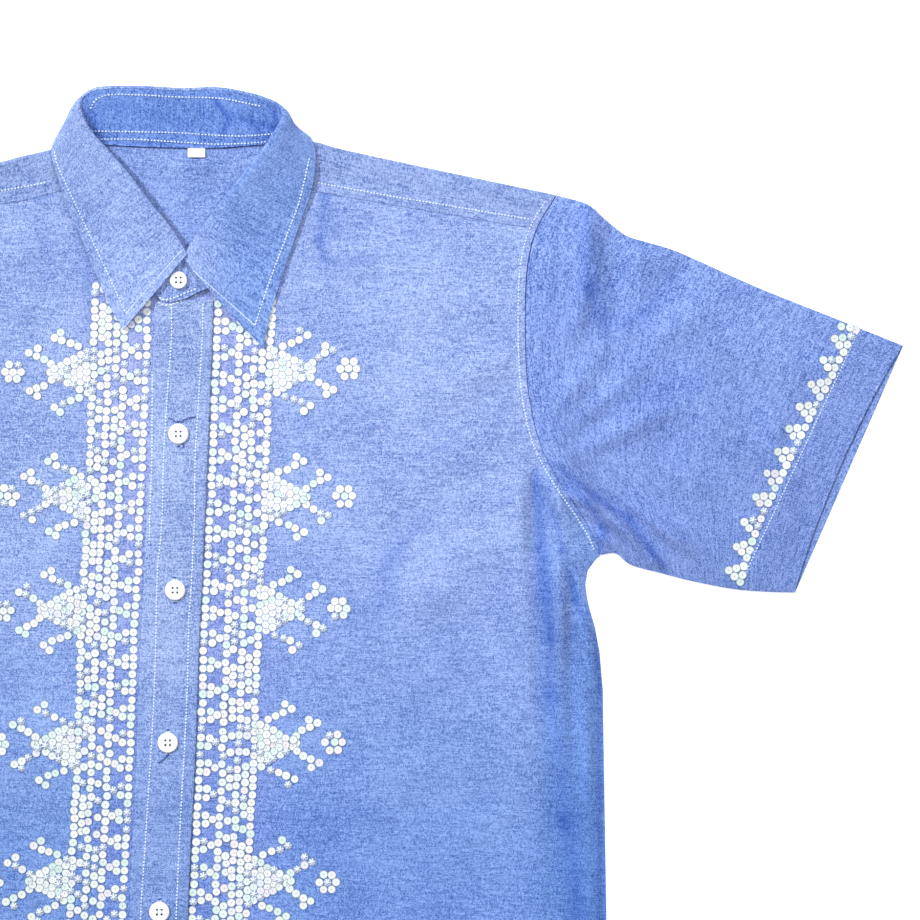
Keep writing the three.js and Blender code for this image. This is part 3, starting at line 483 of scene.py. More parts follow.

# Lines of painted shade where the cloth lies in its folds' shade, drawn for both sides alike: half
# width, depth and the places that each line runs through.
shade_lines = [
    (3, 0.35, -61, 278, -60, 237), (5, 0.2, -92, 318, -90, 270), (8, 0.2, -112, 200, -118, 170),
    (3.4, 0.55, 229.5, 141.1, 232.7, 93.6, 239.2, 31.9),
    (2.4, 0.5, 240.5, 117.7, 247, 90.4, 256.8, 57.9),
    (2.2, 0.5, 252.2, 72.8, 255.5, 57.9, 263.2, 38.4),
    (2.6, 0.6, 242.5, 145.6, 268.4, 124.8, 291.2, 109.9, 305.5, 89, 313.9, 77.4),
    (2.4, 0.55, 245.7, 135.8, 263.2, 121.5, 273, 106.6, 271.7, 87.1),
    (2, 0.4, 269.8, 96.9, 278.9, 105.3), (3, 0.5, 86.5, 337.4, 93, 321.1, 89.7, 291.9, 93, 278.9),
    (3, 0.35, 96.2, 314.6, 100.8, 298.4), (5, 0.25, 93, 275.6, 125.5, 280.2),
    (7, 0.42, 261.9, 308.1, 265.2, 259.4, 271.7, 239.8),
    (8, 0.24, 274.9, 233.3, 300.9, 243.1, 317.2, 265.9), (8, 0.2, 281.4, 187.8, 333.4, 200.8),
    (7, 0.4, 232.7, 129.3, 236, 61.1, 239.2, -3.9, 249, -85.2, 258.7, -150.2),
    (1.8, 0.5, 268.4, 35.1, 271.1, 2.6, 271.7, -150.2), (8, 0.26, 138.5, 90.4, 132, 57.9),
    (6, 0.2, 158, 109.9, 128.7, 77.4), (8, 0.16, 102.7, 57.9, 128.7, 35.1),
]
shaded_folds = [(*stops[i:i + 4], wide, deep) for wide, deep, *stops in shade_lines
                for i in range(0, len(stops) - 2, 2)]


def smooth(low, high, value):
    t = np.clip((value - low) / (high - low), 0, 1)
    return t * t * (3 - 2 * t)


def ridge(row, x, y, open_ended=False):
    x0, y0, x1, y1, wide, high = row
    dx, dy = x1 - x0, y1 - y0
    t = np.clip(((x - x0) * dx + (y - y0) * dy) / (dx * dx + dy * dy), 0, 1)
    away = np.hypot(x - x0 - t * dx, y - y0 - t * dy) / wide
    along = 1.0 if open_ended else 0.25 + 0.75 * np.sin(np.pi * t)
    return high * along * np.exp(-away * away)


ALIKE_FROM, DEEPEST = 150, 0.8


def paint_fold_shade(piece, rows):
    """Paints shade into a cloth: marks how deep in the shade of its folds each point lies. Both sides'
    outer parts are alike.
    """
    spots = np.empty(len(piece.data.vertices) * 3)
    piece.data.vertices.foreach_get("co", spots)
    x, y = spots[0::3] / MM, spots[1::3] / MM
    x = np.where(np.abs(x) > ALIKE_FROM, np.abs(x), x)
    depth = np.clip(sum(ridge(row, x, y, True) for row in rows), 0, DEEPEST)
    hollow = piece.data.attributes.new("hollow", "FLOAT", "POINT")
    hollow.data.foreach_set("value", depth.astype(np.float32))


def distance_to(line, x, y):
    """Distance from each point to a line, and how far along it the nearest place lies."""
    x, y = np.asarray(x, float), np.asarray(y, float)
    nearest = np.full(x.shape, 1e9)
    place = np.zeros(x.shape)
    run = 0.0
    for (ax, ay), (bx, by) in zip(line[:-1], line[1:]):
        dx, dy = bx - ax, by - ay
        length = math.hypot(dx, dy)
        t = np.clip(((x - ax) * dx + (y - ay) * dy) / (length * length), 0, 1)
        away = np.hypot(x - ax - t * dx, y - ay - t * dy)
        closer = away < nearest
        nearest = np.where(closer, away, nearest)
        place = np.where(closer, run + t * length, place)
        run += length
    return nearest, place


shoulder_line = np.array([(104, 350.5), (243.1, 321.1)])
silhouettes = [side_seam[::-1], np.vstack([shoulder_line[:1], sleeve_top]), sleeve_under]
arm_curve = bend(armhole, 3)
AIR = 2.0


def band_x(y):
    """The middle of the button band, which lies a little aslant."""
    return np.interp(y, *bend(band_line, 8).T[::-1])


def air_between(x, y):
    """The layers lie a little apart, except along the garment's edges and under the collar."""
    away = np.min([distance_to(line, np.abs(x), y)[0] for line in silhouettes], axis=0)
    clear = smooth(105, 165, np.hypot(x, y - 300)) * smooth(34, 120, np.abs(x - band_x(y)))
    return AIR * clear * (1 - np.exp(-(away / 11) ** 2)) * smooth(HEM_Y, HEM_Y + 30, y)


def over_leaf(x, y):
    """The yoke lies over the collar's leaf behind the neck."""
    return 1.8 * smooth(330, 342, y) * (1 - smooth(84, 96, np.abs(x)))


def pucker(line, x, y, reach, high, pitch):
    """Small waves that a row of machine stitches draws up."""
    away, place = distance_to(line, x, y)
    turn = place * 2 * np.pi / pitch
    wave = 0.5 + 0.32 * np.sin(turn) + 0.18 * np.sin(turn / 0.53 + 1)
    return high * wave * np.exp(-(away / reach) ** 2)


def rise(x, y):
    """How far the upper layer stands above its flat place."""
    away_x = np.abs(x)
    high = sum(ridge(row, x, y) for row in broad_folds)
    high = high + np.max([ridge(row, away_x, y, True) for row in turned_edges], axis=0)
    clear = 0.35 + 0.65 * smooth(60, 110, np.hypot(x, y - 290))
    outward = 1 + 1.1 * smooth(200, 245, away_x)
    high = high + 1.25 * clear * outward * sum(ridge(row, x, y) for row in creases)
    drift = (np.sin(x / 13.1 + np.sin(y / 19.7)) * np.sin(y / 17.3 + 1.3 * np.sin(x / 23.9 + 2))
             + 0.6 * np.sin(x / 31.0 - y / 27.0 + 0.7))
    high = high + 0.16 * drift * smooth(70, 120, np.hypot(x, y - 290))
    high = high + pucker(arm_curve, away_x, y, 7, 0.55, 9.0)
    high = high + pucker(yoke_seam[1], x, y, 6, 0.3, 11.0) + pucker(yoke_seam[-1], x, y, 6, 0.3, 11.0)
    return np.maximum(high + air_between(x, y), -0.1) + over_leaf(x, y)


def neck_points(first, last):
    rows = collar[first:last + 1] if last >= first else collar[last:first + 1][::-1]
    out = rows[:, 0:2] - rows[:, 3:5]
    return rows[:, 0:2] + LAYER * out / np.linalg.norm(out, axis=1)[:, None]


NECK_SHARE = 0.42


def front_panel(name, side, node, area):
    low = between_heights(side_seam, HEM_Y, side_seam[-1, 1], side)
    high = between_heights(bend(armhole), armhole[0, 1], YOKE_MEETS_ARM, side, SEAM)
    outer = chain([low, high.moved(0, -SEAM)], [0.66, 1])
    neck = neck_points(30, 23) if side > 0 else neck_points(3, 7)
    inset = -STAND_UNDER if side > 0 else -LAP_UNDER
    y = np.linspace(HEM_Y, neck[0, 1], 120)
    inner = Path(np.stack([np.interp(y, band_line[:, 1], band_line[:, 0]) + inset, y], -1))
    neck[0] = inner(1.0)
    seam = yoke_seam[side] - (0, SEAM)
    seam[-1] = outer(1.0)
    top = chain([Path(bend(np.vstack([neck, seam[:1]]))), Path(bend(seam))], [NECK_SHARE, 1])
    us = np.concatenate([np.linspace(0, NECK_SHARE, 43), np.linspace(NECK_SHARE, 0.93, 53)[1:],
                         np.linspace(0.93, 1, 15)[1:]])
    vs = np.linspace(0, 1, 261)
    net = patch(Path([inner(0.0), outer(0.0)]), top, inner, outer, us, vs)
    height = rise(net[..., 0], net[..., 1])
    from_yoke, _ = distance_to(yoke_seam[side], net[..., 0], net[..., 1])
    height = height - 0.45 * np.exp(-(from_yoke / 2.2) ** 2)
    piece = wall(name, with_height(net, LAYER + CLOTH + height), with_height(net, LAYER + height),
                 net, body_cloth)
    paint_fold_shade(piece, shaded_folds)
    return settle(piece, "cloth", node, flat=(0.300, 0.730), held="laid", area=area, rests_on=["back"])


right_front = front_panel("right_front_cloth", -1, "front_right", 0.168)
left_front = front_panel("left_front_cloth", 1, "front_left", 0.197)

# ---------------------------------------------------------------- button band
# A folded band of the same cloth on the right front's edge, over both fronts. Its long edges
# are turned in and caught by rows of white stitches.
BAND_HALF = 19
BAND_TOP = 252.75
FREE_EDGE = 0.6
# The band darkens towards its foot: painted shade.
band_tone = chambray("chambray_band", (0.078, 0.153, 0.427), (0.460, 0.567, 0.891), [("Y", 90, -110, 0.66)])


def band_height(x, y):
    """Height of the band's underside, which lies on the fronts and stands off at its free edge."""
    return 2 * LAYER + rise(x, y) + FREE_EDGE * smooth(0.55, 1.0, (x - band_x(y)) / BAND_HALF)


def band_fill(x, y):
    """The band fills out a little between its rows of stitches, and puckers along its edges."""
    across = (x - band_x(y)) / BAND_HALF
    fill = 0.35 * np.exp(-((across + 0.45) / 0.3) ** 2) + 0.3 * np.exp(-((across - 0.35) / 0.32) ** 2)
    waves = 0.12 * np.sin(y / 2.3 + 2 * np.sin(y / 9.1))
    return fill + waves * np.exp(-((np.abs(across) - 1) / 0.22) ** 2)


rows = np.linspace(HEM_Y, BAND_TOP, 330)
shares = np.concatenate([[-1, -0.97], np.linspace(-0.93, 0.93, 21), [0.97, 1]])
band_net = np.stack([band_x(rows)[:, None] + BAND_HALF * shares,
                     np.repeat(rows[:, None], len(shares), 1)], -1)
band_under = band_height(band_net[..., 0], band_net[..., 1])
rolled = 0.45 * np.clip((np.abs(shares) - 0.93) / 0.07, 0, 1) ** 2
band_face = band_under + CLOTH + band_fill(band_net[..., 0], band_net[..., 1]) - rolled
band = wall("band_cloth", with_height(band_net, band_face), with_height(band_net, band_under),
            band_net, band_tone)
settle(band, "cloth", "placket", flat=(0.038, 0.646), held="laid", rests_on=["front_right", "front_left"])

# ---------------------------------------------------------------- yoke
# One width of cloth from the back seam over both shoulders to the fronts. It turns over at the
# shoulders, and its front edges are lapped on the fronts and stitched.
YOKE_BACK = 261.7
shoulder = {
    1: np.array([(78, 354.2), (86.5, 355.4), (102, 351.3), (242.95, 321.1)]),
    -1: np.array([(-82, 350.8), (-102, 346.6), (-118, 342.6), (-242.95, 321.1)]),
}
TURN = 1.0
SIDE_COLS, NECK_COLS = 84, 44
neck_back = neck_points(10, 20)
fold_line = {
    -1: Path(bend(np.vstack([neck_back[:1], shoulder[-1]])) - (0, TURN)),
    1: Path(bend(np.vstack([neck_back[-1:], shoulder[1]])) - (0, TURN)),
}
share = SIDE_COLS / (2 * SIDE_COLS + NECK_COLS)
ends = [share, 1 - share, 1]
yoke_top = chain([fold_line[-1].turned_back(), Path(bend(neck_back)), fold_line[1]], ends)
arm_part = {
    side: between_heights(bend(armhole), YOKE_BACK, armhole[-1, 1] - TURN, side, SEAM)
    for side in (-1, 1)
}
base_stops = [arm_part[-1](0.0), (-66, YOKE_BACK), (66, YOKE_BACK), arm_part[1](0.0)]
yoke_base = chain([Path(base_stops[i:i + 2]) for i in range(3)], ends)
LOW_ROWS = 30
lower = patch(yoke_base, yoke_top, arm_part[-1], arm_part[1],
              np.linspace(0, 1, 2 * SIDE_COLS + NECK_COLS + 1), np.linspace(0, 1, LOW_ROWS + 1))
UP_ROWS = 16


def flap(side):
    """The yoke's front part, from the shoulder fold to the seam."""
    seam = yoke_seam[side] + (0, SEAM)
    neck = neck_points(20, 22) if side > 0 else neck_points(10, 8)
    neck[0] = fold_line[side](0.0)
    arm = between_heights(bend(armhole), YOKE_MEETS_ARM, armhole[-1, 1] - TURN, side, SEAM)
    arm = arm.moved(0, SEAM).turned_back()
    seam[-1] = arm(1.0)
    return patch(fold_line[side], Path(bend(seam)), Path(bend(np.vstack([neck, seam[:1]]))), arm,
                 np.linspace(0, 1, SIDE_COLS + 1), np.linspace(0, 1, UP_ROWS + 1))


right_flap, left_flap = flap(1), flap(-1)
upper = np.repeat(lower[-1:], UP_ROWS + 1, 0)
upper[:, :SIDE_COLS + 1] = left_flap[:, ::-1]
upper[:, -SIDE_COLS - 1:] = right_flap
low_rise = over_leaf(lower[..., 0], lower[..., 1])
yoke_rise = rise(upper[..., 0], upper[..., 1])


def yoke_face(back_in, turn, z_back, z_front, front_in):
    """One face of the yoke: its back, the turn at the shoulders and its fronts."""
    back_net, front_net = lower.copy(), upper.copy()
    back_net[-1, :, 1] -= back_in
    front_net[0, :, 1] -= front_in
    rows = [with_height(back_net, z_back)]
    for angle in np.linspace(-0.5, 0.5, 7)[1:-1] * np.pi:
        out = back_net[-1] + (0, turn * math.cos(angle))
        z = z_back[-1] + (z_front[0] - z_back[-1]) * (0.5 + 0.5 * math.sin(angle))
        rows.append(with_height(out[None], z[None]))
    return np.vstack([*rows, with_height(front_net, z_front)])


yoke_outer = yoke_face(0, TURN, low_rise, LAYER + CLOTH + yoke_rise, 0)
yoke_inner = yoke_face(0.5, 0.4, CLOTH + low_rise, LAYER + yoke_rise, 0.5)
keep = np.ones((yoke_outer.shape[0] - 1, yoke_outer.shape[1] - 1), bool)
keep[LOW_ROWS:, SIDE_COLS:SIDE_COLS + NECK_COLS] = False
run = np.concatenate([[0], np.cumsum(np.linalg.norm(np.diff(yoke_outer, axis=0), axis=2).mean(1))])
yoke_grain = np.stack([yoke_outer[..., 0], np.repeat(run[:, None], yoke_outer.shape[1], 1)], -1)
# Painted light: the yoke is lightened inside the neck, within 64 mm of the middle.
yoke_tone = chambray("chambray_yoke", (0.058, 0.120, 0.376), (0.350, 0.456, 0.784),
                     [("|X", 82, 64, 1.0, (1.03, 1.09, 1.13))])
yoke = wall("yoke_cloth", yoke_outer, yoke_inner, yoke_grain, yoke_tone, keep=keep)
settle(yoke, "cloth", "yoke", flat=(0.486, 0.128), held="folded", area=0.046,
       rests_on=["back", "front_right", "front_left"])

# ---------------------------------------------------------------- sleeves
# Set-in short sleeves, each one width of cloth sewn to a tube and laid flat. The hem is turned up
# 37 mm. The lower layer's hem shows a little past the upper one's.
CUFF_STEP = 6.2
UNDER_COLS, OVER_COLS = 26, 84
# The sleeves' chambray is a darker copy of the body's: painted shade where the sleeves slope away from the
# light.
sleeve_tone = chambray("chambray_sleeve", (0.025, 0.086, 0.370), (0.341, 0.478, 0.923), clouds=0.36)
hem_axis = np.array([(362.8, 72.15), (437.4, 233.35)])


def hem_step(x, y):
    """The turned-up hem is two layers thick, and it draws up slightly along its stitches."""
    (ax, ay), (bx, by) = hem_axis
    length = math.hypot(bx - ax, by - ay)
    beyond = ((np.abs(x) - ax) * (by - ay) - (y - ay) * (bx - ax)) / length
    along = ((np.abs(x) - ax) * (bx - ax) + (y - ay) * (by - ay)) / length
    waves = 0.22 * np.sin(along / 2.1 + 1.7 * np.sin(along / 13)) * np.exp(-((beyond - 14) / 15) ** 2)
    from_seam, _ = distance_to(arm_curve, np.abs(x), y)
    sunk = np.minimum(1.0, rise(x, y)) * np.exp(-(from_seam / 2.6) ** 2)
    return 0.55 * smooth(-1.5, 1.5, beyond) + waves * smooth(-4, 4, beyond) - sunk


def make_sleeve(name, side, node):
    out = np.array([side, 1])
    top = Path(bend((sleeve_top + (SEAM, 0)) * out))
    under = Path(bend((sleeve_under + (SEAM, 0)) * out))
    arm = between_heights(bend(armhole), armhole[0, 1], armhole[-1, 1], side, -SEAM)
    low_cuff = Path(np.linspace(under(1.0), top(1.0), 60))
    along = top(1.0) - under(1.0)
    inward = np.array([-along[1], along[0]]) * side / np.linalg.norm(along)
    step = CUFF_STEP * np.sin(np.pi * np.linspace(0, 1, 60)) ** 0.7
    high_cuff = Path(low_cuff.points + step[:, None] * inward, low_cuff.share)
    vs = np.linspace(0, 1, 91)
    under_net = patch(arm, low_cuff, under, top, np.linspace(0, 1, UNDER_COLS + 1), vs)
    over_net = patch(arm, high_cuff, under, top, np.linspace(0, 1, OVER_COLS + 1), vs)
    wide = np.linalg.norm(over_net[:, -1] - over_net[:, 0], axis=1)[:, None, None]

    def ring(low, high, pull):
        inset = (TURN + pull) / wide

        def squeeze(net):
            """Each row drawn in from the two folds along its own line."""
            share = np.linspace(0, 1, net.shape[1])
            return np.array([[np.interp(share * (1 - 2 * in_by) + in_by, share, line) for line in row.T]
                             for in_by, row in zip(inset.ravel(), net)]).transpose(0, 2, 1)

        base, crown = squeeze(under_net), squeeze(over_net)
        lift = rise(crown[..., 0], crown[..., 1]) + hem_step(crown[..., 0], crown[..., 1])
        lift = lift - (GAP - 0.15 + 0.9 * lift) * smooth(0.80, 1.0, vs)[:, None]
        crown_z = high + lift
        turns = []
        for end, near in ((-1, base[:, -1]), (0, base[:, 0])):
            out_way = over_net[:, end] - near
            out_way = out_way / np.linalg.norm(out_way, axis=1)[:, None]
            rows_z = crown_z[:, end]
            reach = TURN * (1 - 0.4 * (pull > 0))
            angles = np.linspace(-0.5, 0.5, 7)[1:-1] * np.pi
            arc = [np.concatenate([near + reach * math.cos(a) * out_way,
                                   (low + (rows_z - low) * (0.5 + 0.5 * math.sin(a)))[:, None]], 1)
                   for a in angles]
            turns.append(np.stack(arc, 1))
        crown_net = with_height(crown, crown_z)[:, ::-1]
        base_net = with_height(base, np.full(base.shape[:2], low))
        return np.concatenate([base_net, turns[0], crown_net, turns[1][:, ::-1]], 1)

    outer = ring(0.0, LAYER + CLOTH, 0.0)
    inner = ring(CLOTH, LAYER, 0.6)
    steps = np.linalg.norm(np.diff(outer, axis=1), axis=2).mean(0)
    round_run = np.concatenate([[0], np.cumsum(steps)])
    length = np.linalg.norm(top(1.0) - top(0.0)) * vs
    grain = np.stack(np.meshgrid(round_run, length), -1)
    piece = wall(name, outer, inner, grain + (700 * side, 300), sleeve_tone, ring=True)
    paint_fold_shade(piece, shaded_folds)
    return settle(piece, "cloth", node, flat=(0.480, 0.235), held="laid", area=0.083,
                  rests_on=["front_left", "front_right"])


right_sleeve = make_sleeve("right_sleeve_cloth", -1, "sleeve_right")
left_sleeve = make_sleeve("left_sleeve_cloth", 1, "sleeve_left")

# ---------------------------------------------------------------- collar
# A stand, which holds the collar up round the neck, and a leaf that falls from its top edge: flat
# beneath the yoke behind, and over the shoulders onto the fronts, with the left point uppermost.
STAND_HALF, LEAF_HALF = 0.7, 0.5
LEAF_FIRST, LEAF_LAST = 2, 28
# The leaf darkens towards the viewer's right: painted shade on the side turned from the light.
leaf_tone = chambray("chambray_leaf", (0.071, 0.146, 0.433), (0.427, 0.549, 0.914), [("X", 2, 40, 0.75)])
# The stand darkens towards its back, inside the neck: painted shade.
stand_tone = chambray("chambray_stand", (0.049, 0.125, 0.407), (0.437, 0.554, 0.950),
                      [("Y", 285, 335, 1.0, (0.57, 0.745, 0.965))])
stand_creases = [
    (25, 382, 32, 369, 1.7, 1.5), (32, 369, 26, 361, 1.8, 1.1), (34, 372, 60, 363, 2.4, 1.0),
    (28, 374, 19, 370, 1.8, 0.9), (44, 376, 58, 370, 2.2, 0.8), (24, 366, 8, 364, 2.4, 0.7),
    (-45, 380, -20, 372, 4, 0.4), (-38, 362, -10, 360, 5, 0.3), (0, 378, 18, 368, 4, 0.3),
]
# Lines of painted shade in the stand's creases: from, to, half width and depth.
stand_shades = [
    (21, 383, 32, 369, 1.9, 0.85), (32, 369, 27, 361, 1.8, 0.7), (32, 373, 62, 363, 2.2, 0.5),
    (-50, 378, -28, 375, 4, 0.3), (-18, 372, 6, 366, 4, 0.28), (-57, 374, -54, 362, 3.2, 0.5),
    (60, 376, 62, 362, 3, 0.45), (-40, 366, -22, 364, 3, 0.2), (10, 378, 19, 371, 3, 0.3),
    (40, 369, 52, 361, 2, 0.3),
]


def unit(vectors):
    return vectors / np.linalg.norm(vectors, axis=-1)[..., None]


def thick(net, half, extra):
    """Both faces of a wall about a middle net, moved out along its normals by extra."""
    normal = unit(np.cross(np.gradient(net, axis=0), np.gradient(net, axis=1)))
    extra = np.asarray(extra)[..., None]
    return net + normal * (half + extra), net - normal * (half - extra)


def grain_of(net):
    across = np.cumsum(np.linalg.norm(np.diff(net, axis=1, prepend=net[:, :1]), axis=2).mean(0))
    along = np.cumsum(np.linalg.norm(np.diff(net, axis=0, prepend=net[:1]), axis=2).mean(1))
    return np.stack(np.meshgrid(across, along), -1)


neck_run, roll_run = bend(collar[:, 0:3], 14), bend(collar[:, 3:6], 14)
LEAF_SEAM, NECK_LAP = -1.08, 1.4
stand_deep = np.linalg.norm(roll_run - neck_run, axis=1)[:, None]
fall = np.linspace(0, 1, 16)[None, :, None] * (1 - LEAF_SEAM / stand_deep)[:, :, None]
stand_net = neck_run[:, None] * (1 - fall) + roll_run[:, None] * fall
lap = NECK_LAP * np.maximum(smooth(3.0, 3.5, neck_run[:, 2:]), 0.1)
lap = (neck_run - roll_run) * (1, 1, 0) / stand_deep * lap
stand_net = np.concatenate([(neck_run + lap)[:, None], (neck_run + lap / 2)[:, None], stand_net], 1)
x, y = stand_net[..., 0], stand_net[..., 1]
wrinkle = sum(ridge(row, x, y) for row in stand_creases)
wrinkle = wrinkle + 0.16 * np.sin(x / 4.1 + np.sin(y / 5)) * np.sin(y / 6.3)
stand = wall("stand_cloth", *thick(stand_net, STAND_HALF, -0.5 * wrinkle),
             grain_of(stand_net) + (0, 1400), stand_tone)
paint_fold_shade(stand, stand_shades)
settle(stand, "cloth", "collar_stand", flat=(0.460, 0.040), held="folded", area=0.0125,
       rests_on=["yoke"])

leaf_rows = collar[LEAF_FIRST:LEAF_LAST + 1]
neck_at, roll_at, middle_at, edge_at = (bend(leaf_rows[:, i:i + 3], 8) for i in (0, 3, 6, 9))
down = unit(neck_at - roll_at)
out_way = unit(np.cross(np.gradient(roll_at, axis=0), down))
# The leaf rolls over the stand's top edge in three stops, each so far up and so far out.
stops = [roll_at - down * up_by + out_way * out_by for up_by, out_by in ((1.1, 0), (2.3, 1.0), (1.6, 3.1))]
leaf_net = np.array([bend(places, 7) for places in np.stack([*stops, middle_at, edge_at], 1)])
x, y = leaf_net[..., 0], leaf_net[..., 1]
soft = 0.28 * np.sin(x / 7.3 + 1.2 * np.sin(y / 9)) * np.sin(y / 8.1)
soft = soft * smooth(0, 1, np.linspace(-0.2, 1.4, leaf_net.shape[1]))
leaf = wall("leaf_cloth", *thick(leaf_net, LEAF_HALF, soft), grain_of(leaf_net) + (0, 2100), leaf_tone)
settle(leaf, "cloth", "collar_leaf", flat=(0.430, 0.075), held="folded", area=0.0195,
       rests_on=["yoke", "collar_stand"])

# ---------------------------------------------------------------- sewing
# White lockstitch on every seam that is topstitched: band, armholes, yoke, collar, neck and hems.
# Each stitch is a short plump bar that sinks into the cloth at both ends.
STITCH_PITCH, STITCH_LONG, STITCH_WIDE = 2.15, 1.5, 1.15
UNEVEN = 0.12
white_thread = Finish("white_thread", roughness=0.62, specular_ior_level=0.3)
white_thread.feed("Base Color", white_thread.blend(
    white_thread.noise(900.0, 1.0), (0.66, 0.78, 0.88), (0.88, 0.94, 0.97)))
blue_thread = Finish("blue_thread", roughness=0.7)
blue_thread.feed("Base Color", blue_thread.blend(
    blue_thread.noise(700.0), (0.010, 0.030, 0.22), (0.04, 0.09, 0.40)))


def surface_of(*pieces):
    """The joined faces of finished pieces, for finding the surface under a place."""
    spots, faces = [], []
    for piece in pieces:
        start = len(spots)
        spots.extend(vertex.co.copy() for vertex in piece.data.vertices)
        faces.extend([start + i for i in face.vertices] for face in piece.data.polygons)
    return BVHTree.FromPolygons(spots, faces)


def dropped(tree, places, above=0.0):
    """Places in millimetres let down onto a surface: their points and ways up there."""
    points, ups = [], []
    for x, y in places:
        hit, up, _, _ = tree.ray_cast(Vector((x, y, 100)) * MM, Vector((0, 0, -1)))
        if hit is not None:
            points.append((hit.x / MM, hit.y / MM, hit.z / MM + above))
            ups.append(tuple(up))
    return np.array(points).reshape(-1, 3), np.array(ups).reshape(-1, 3)


def stitch_row(tree, line, pitch=STITCH_PITCH, above=0.12):
    """A row of places along a line on a surface, with its ways along and up."""
    path = Path(line)
    length = np.linalg.norm(np.diff(path.points, axis=0), axis=1).sum()
    count = max(int(length / pitch), 2)
    points, ups = dropped(tree, path((np.arange(count) + 0.5) / count), above)
    return points, np.gradient(points, axis=0), ups


def stitch_rows(tree, lines, pitch=STITCH_PITCH, above=0.12):
    return [stitch_row(tree, line, pitch, above) for line in lines]


def both_sides(line):
    """A line on the left of the shirt, mirrored to its right as well."""
    return [np.array(line) * (side, 1) for side in (-1, 1)]


def node_tree(name, *inputs):
    """A Geometry Nodes tree with named inputs. Gives it, a maker of its nodes and its inputs."""
    tree = bpy.data.node_groups.new(name, "GeometryNodeTree")
    tree.interface.new_socket("Geometry", in_out="OUTPUT", socket_type="NodeSocketGeometry")
    for label, kind in (("Geometry", "Geometry"), *inputs, ("Seed", "Int"), ("Material", "Material")):
        tree.interface.new_socket(label, in_out="INPUT", socket_type="NodeSocket" + kind)
    given = {socket.name: Socket(socket) for socket in tree.nodes.new("NodeGroupInput").outputs}
    return tree, lambda *facts, **more: new_node(tree, *facts, **more), given


def lay(tree, add, given, shape, lean, scale, along=False, smooth_faces=True):
    """Ends a tree. A copy of the shape lies at each point, turned to its way up, and leans by
    chance up to the given angles."""
    def way(label):
        return add("GeometryNodeInputNamedAttribute", {"data_type": "FLOAT_VECTOR"}, {"Name": label})

    turn = add("FunctionNodeAlignRotationToVector", {"axis": "Z"}, {"Vector": way("up")})
    if along:
        turn = add("FunctionNodeAlignRotationToVector", {"axis": "X", "pivot_axis": "Z"},
                   {"Rotation": turn, "Vector": way("along")})
    least = add("ShaderNodeVectorMath", {"operation": "SCALE"}, {0: lean, "Scale": -1.0})
    lean = add("FunctionNodeRandomValue", {"data_type": "FLOAT_VECTOR"}, {
        0: least, 1: lean, "Seed": given["Seed"]})
    turn = add("FunctionNodeRotateRotation", {"rotation_space": "LOCAL"}, {
        0: turn, 1: add("FunctionNodeEulerToRotation", {}, {0: lean})})
    laid = add("GeometryNodeInstanceOnPoints", {}, {
        "Points": given["Geometry"], "Instance": shape, "Rotation": turn, "Scale": scale})
    real = add("GeometryNodeRealizeInstances", {}, {0: laid})
    shaded = add("GeometryNodeSetShadeSmooth", {}, {"Geometry": real, "Shade Smooth": smooth_faces})
    add("NodeGroupOutput", {}, {0: add("GeometryNodeSetMaterial", {}, {
        "Geometry": shaded, "Material": given["Material"]})})
    return tree


def stitch_tree():
    tree, add, given = node_tree(
        "stitches", ("Length", "Float"), ("Width", "Float"), ("Unevenness", "Float"))
    bar = add("GeometryNodeMeshUVSphere", {}, {"Segments": 6, "Rings": 4, "Radius": 0.5})
    size = add("ShaderNodeCombineXYZ", {}, {
        "X": given["Length"], "Y": given["Width"], "Z": given["Width"]})
    share = add("FunctionNodeRandomValue", {"data_type": "FLOAT"}, {
        2: 1 - given["Unevenness"], 3: 1 + given["Unevenness"], "Seed": given["Seed"]}, output=1)
    size = add("ShaderNodeVectorMath", {"operation": "SCALE"}, {0: size, "Scale": share})
    return lay(tree, add, given, bar, (0, 0, 0.14), size, along=True)


def grown(name, slot, tree, points, vectors, numbers, settings):
    """Runs a tree on loose points and keeps the result as a plain mesh."""
    mesh = bpy.data.meshes.new(name)
    mesh.from_pydata((np.asarray(points) * MM).tolist(), [], [])
    for kind, key, table in (("FLOAT_VECTOR", "vector", vectors), ("FLOAT", "value", numbers)):
        for label, values in table.items():
            layer = mesh.attributes.new(label, kind, "POINT")
            layer.data.foreach_set(key, np.asarray(values, np.float32).ravel())
    piece = linked(name, mesh)
    modifier = piece.modifiers.new("grown", "NODES")
    modifier.node_group = tree
    for item in tree.interface.items_tree:
        if item.in_out == "INPUT" and item.name in settings:
            modifier[item.identifier] = settings[item.name]
    seen = piece.evaluated_get(bpy.context.evaluated_depsgraph_get())
    made = bpy.data.meshes.new_from_object(seen)
    piece.modifiers.clear()
    piece.data = made
    made.name = name
    for label in vectors:
        if label in made.attributes:
            made.attributes.remove(made.attributes[label])
    return settle(piece, slot)


stitches = stitch_tree()


def sew(name, seed, rows, length=STITCH_LONG, width=STITCH_WIDE, thread=white_thread):
    points, along, ups = (np.vstack(part) for part in zip(*rows))
    return grown(name, "thread", stitches, points, {"along": along, "up": ups}, {}, {
        "Length": length * MM, "Width": width * MM, "Unevenness": UNEVEN, "Seed": seed,
        "Material": thread.material})


front_surface = surface_of(right_front, left_front, yoke)
band_surface = surface_of(band)
sleeve_surface = surface_of(right_sleeve, left_sleeve)
leaf_surface, stand_surface = surface_of(leaf), surface_of(stand)

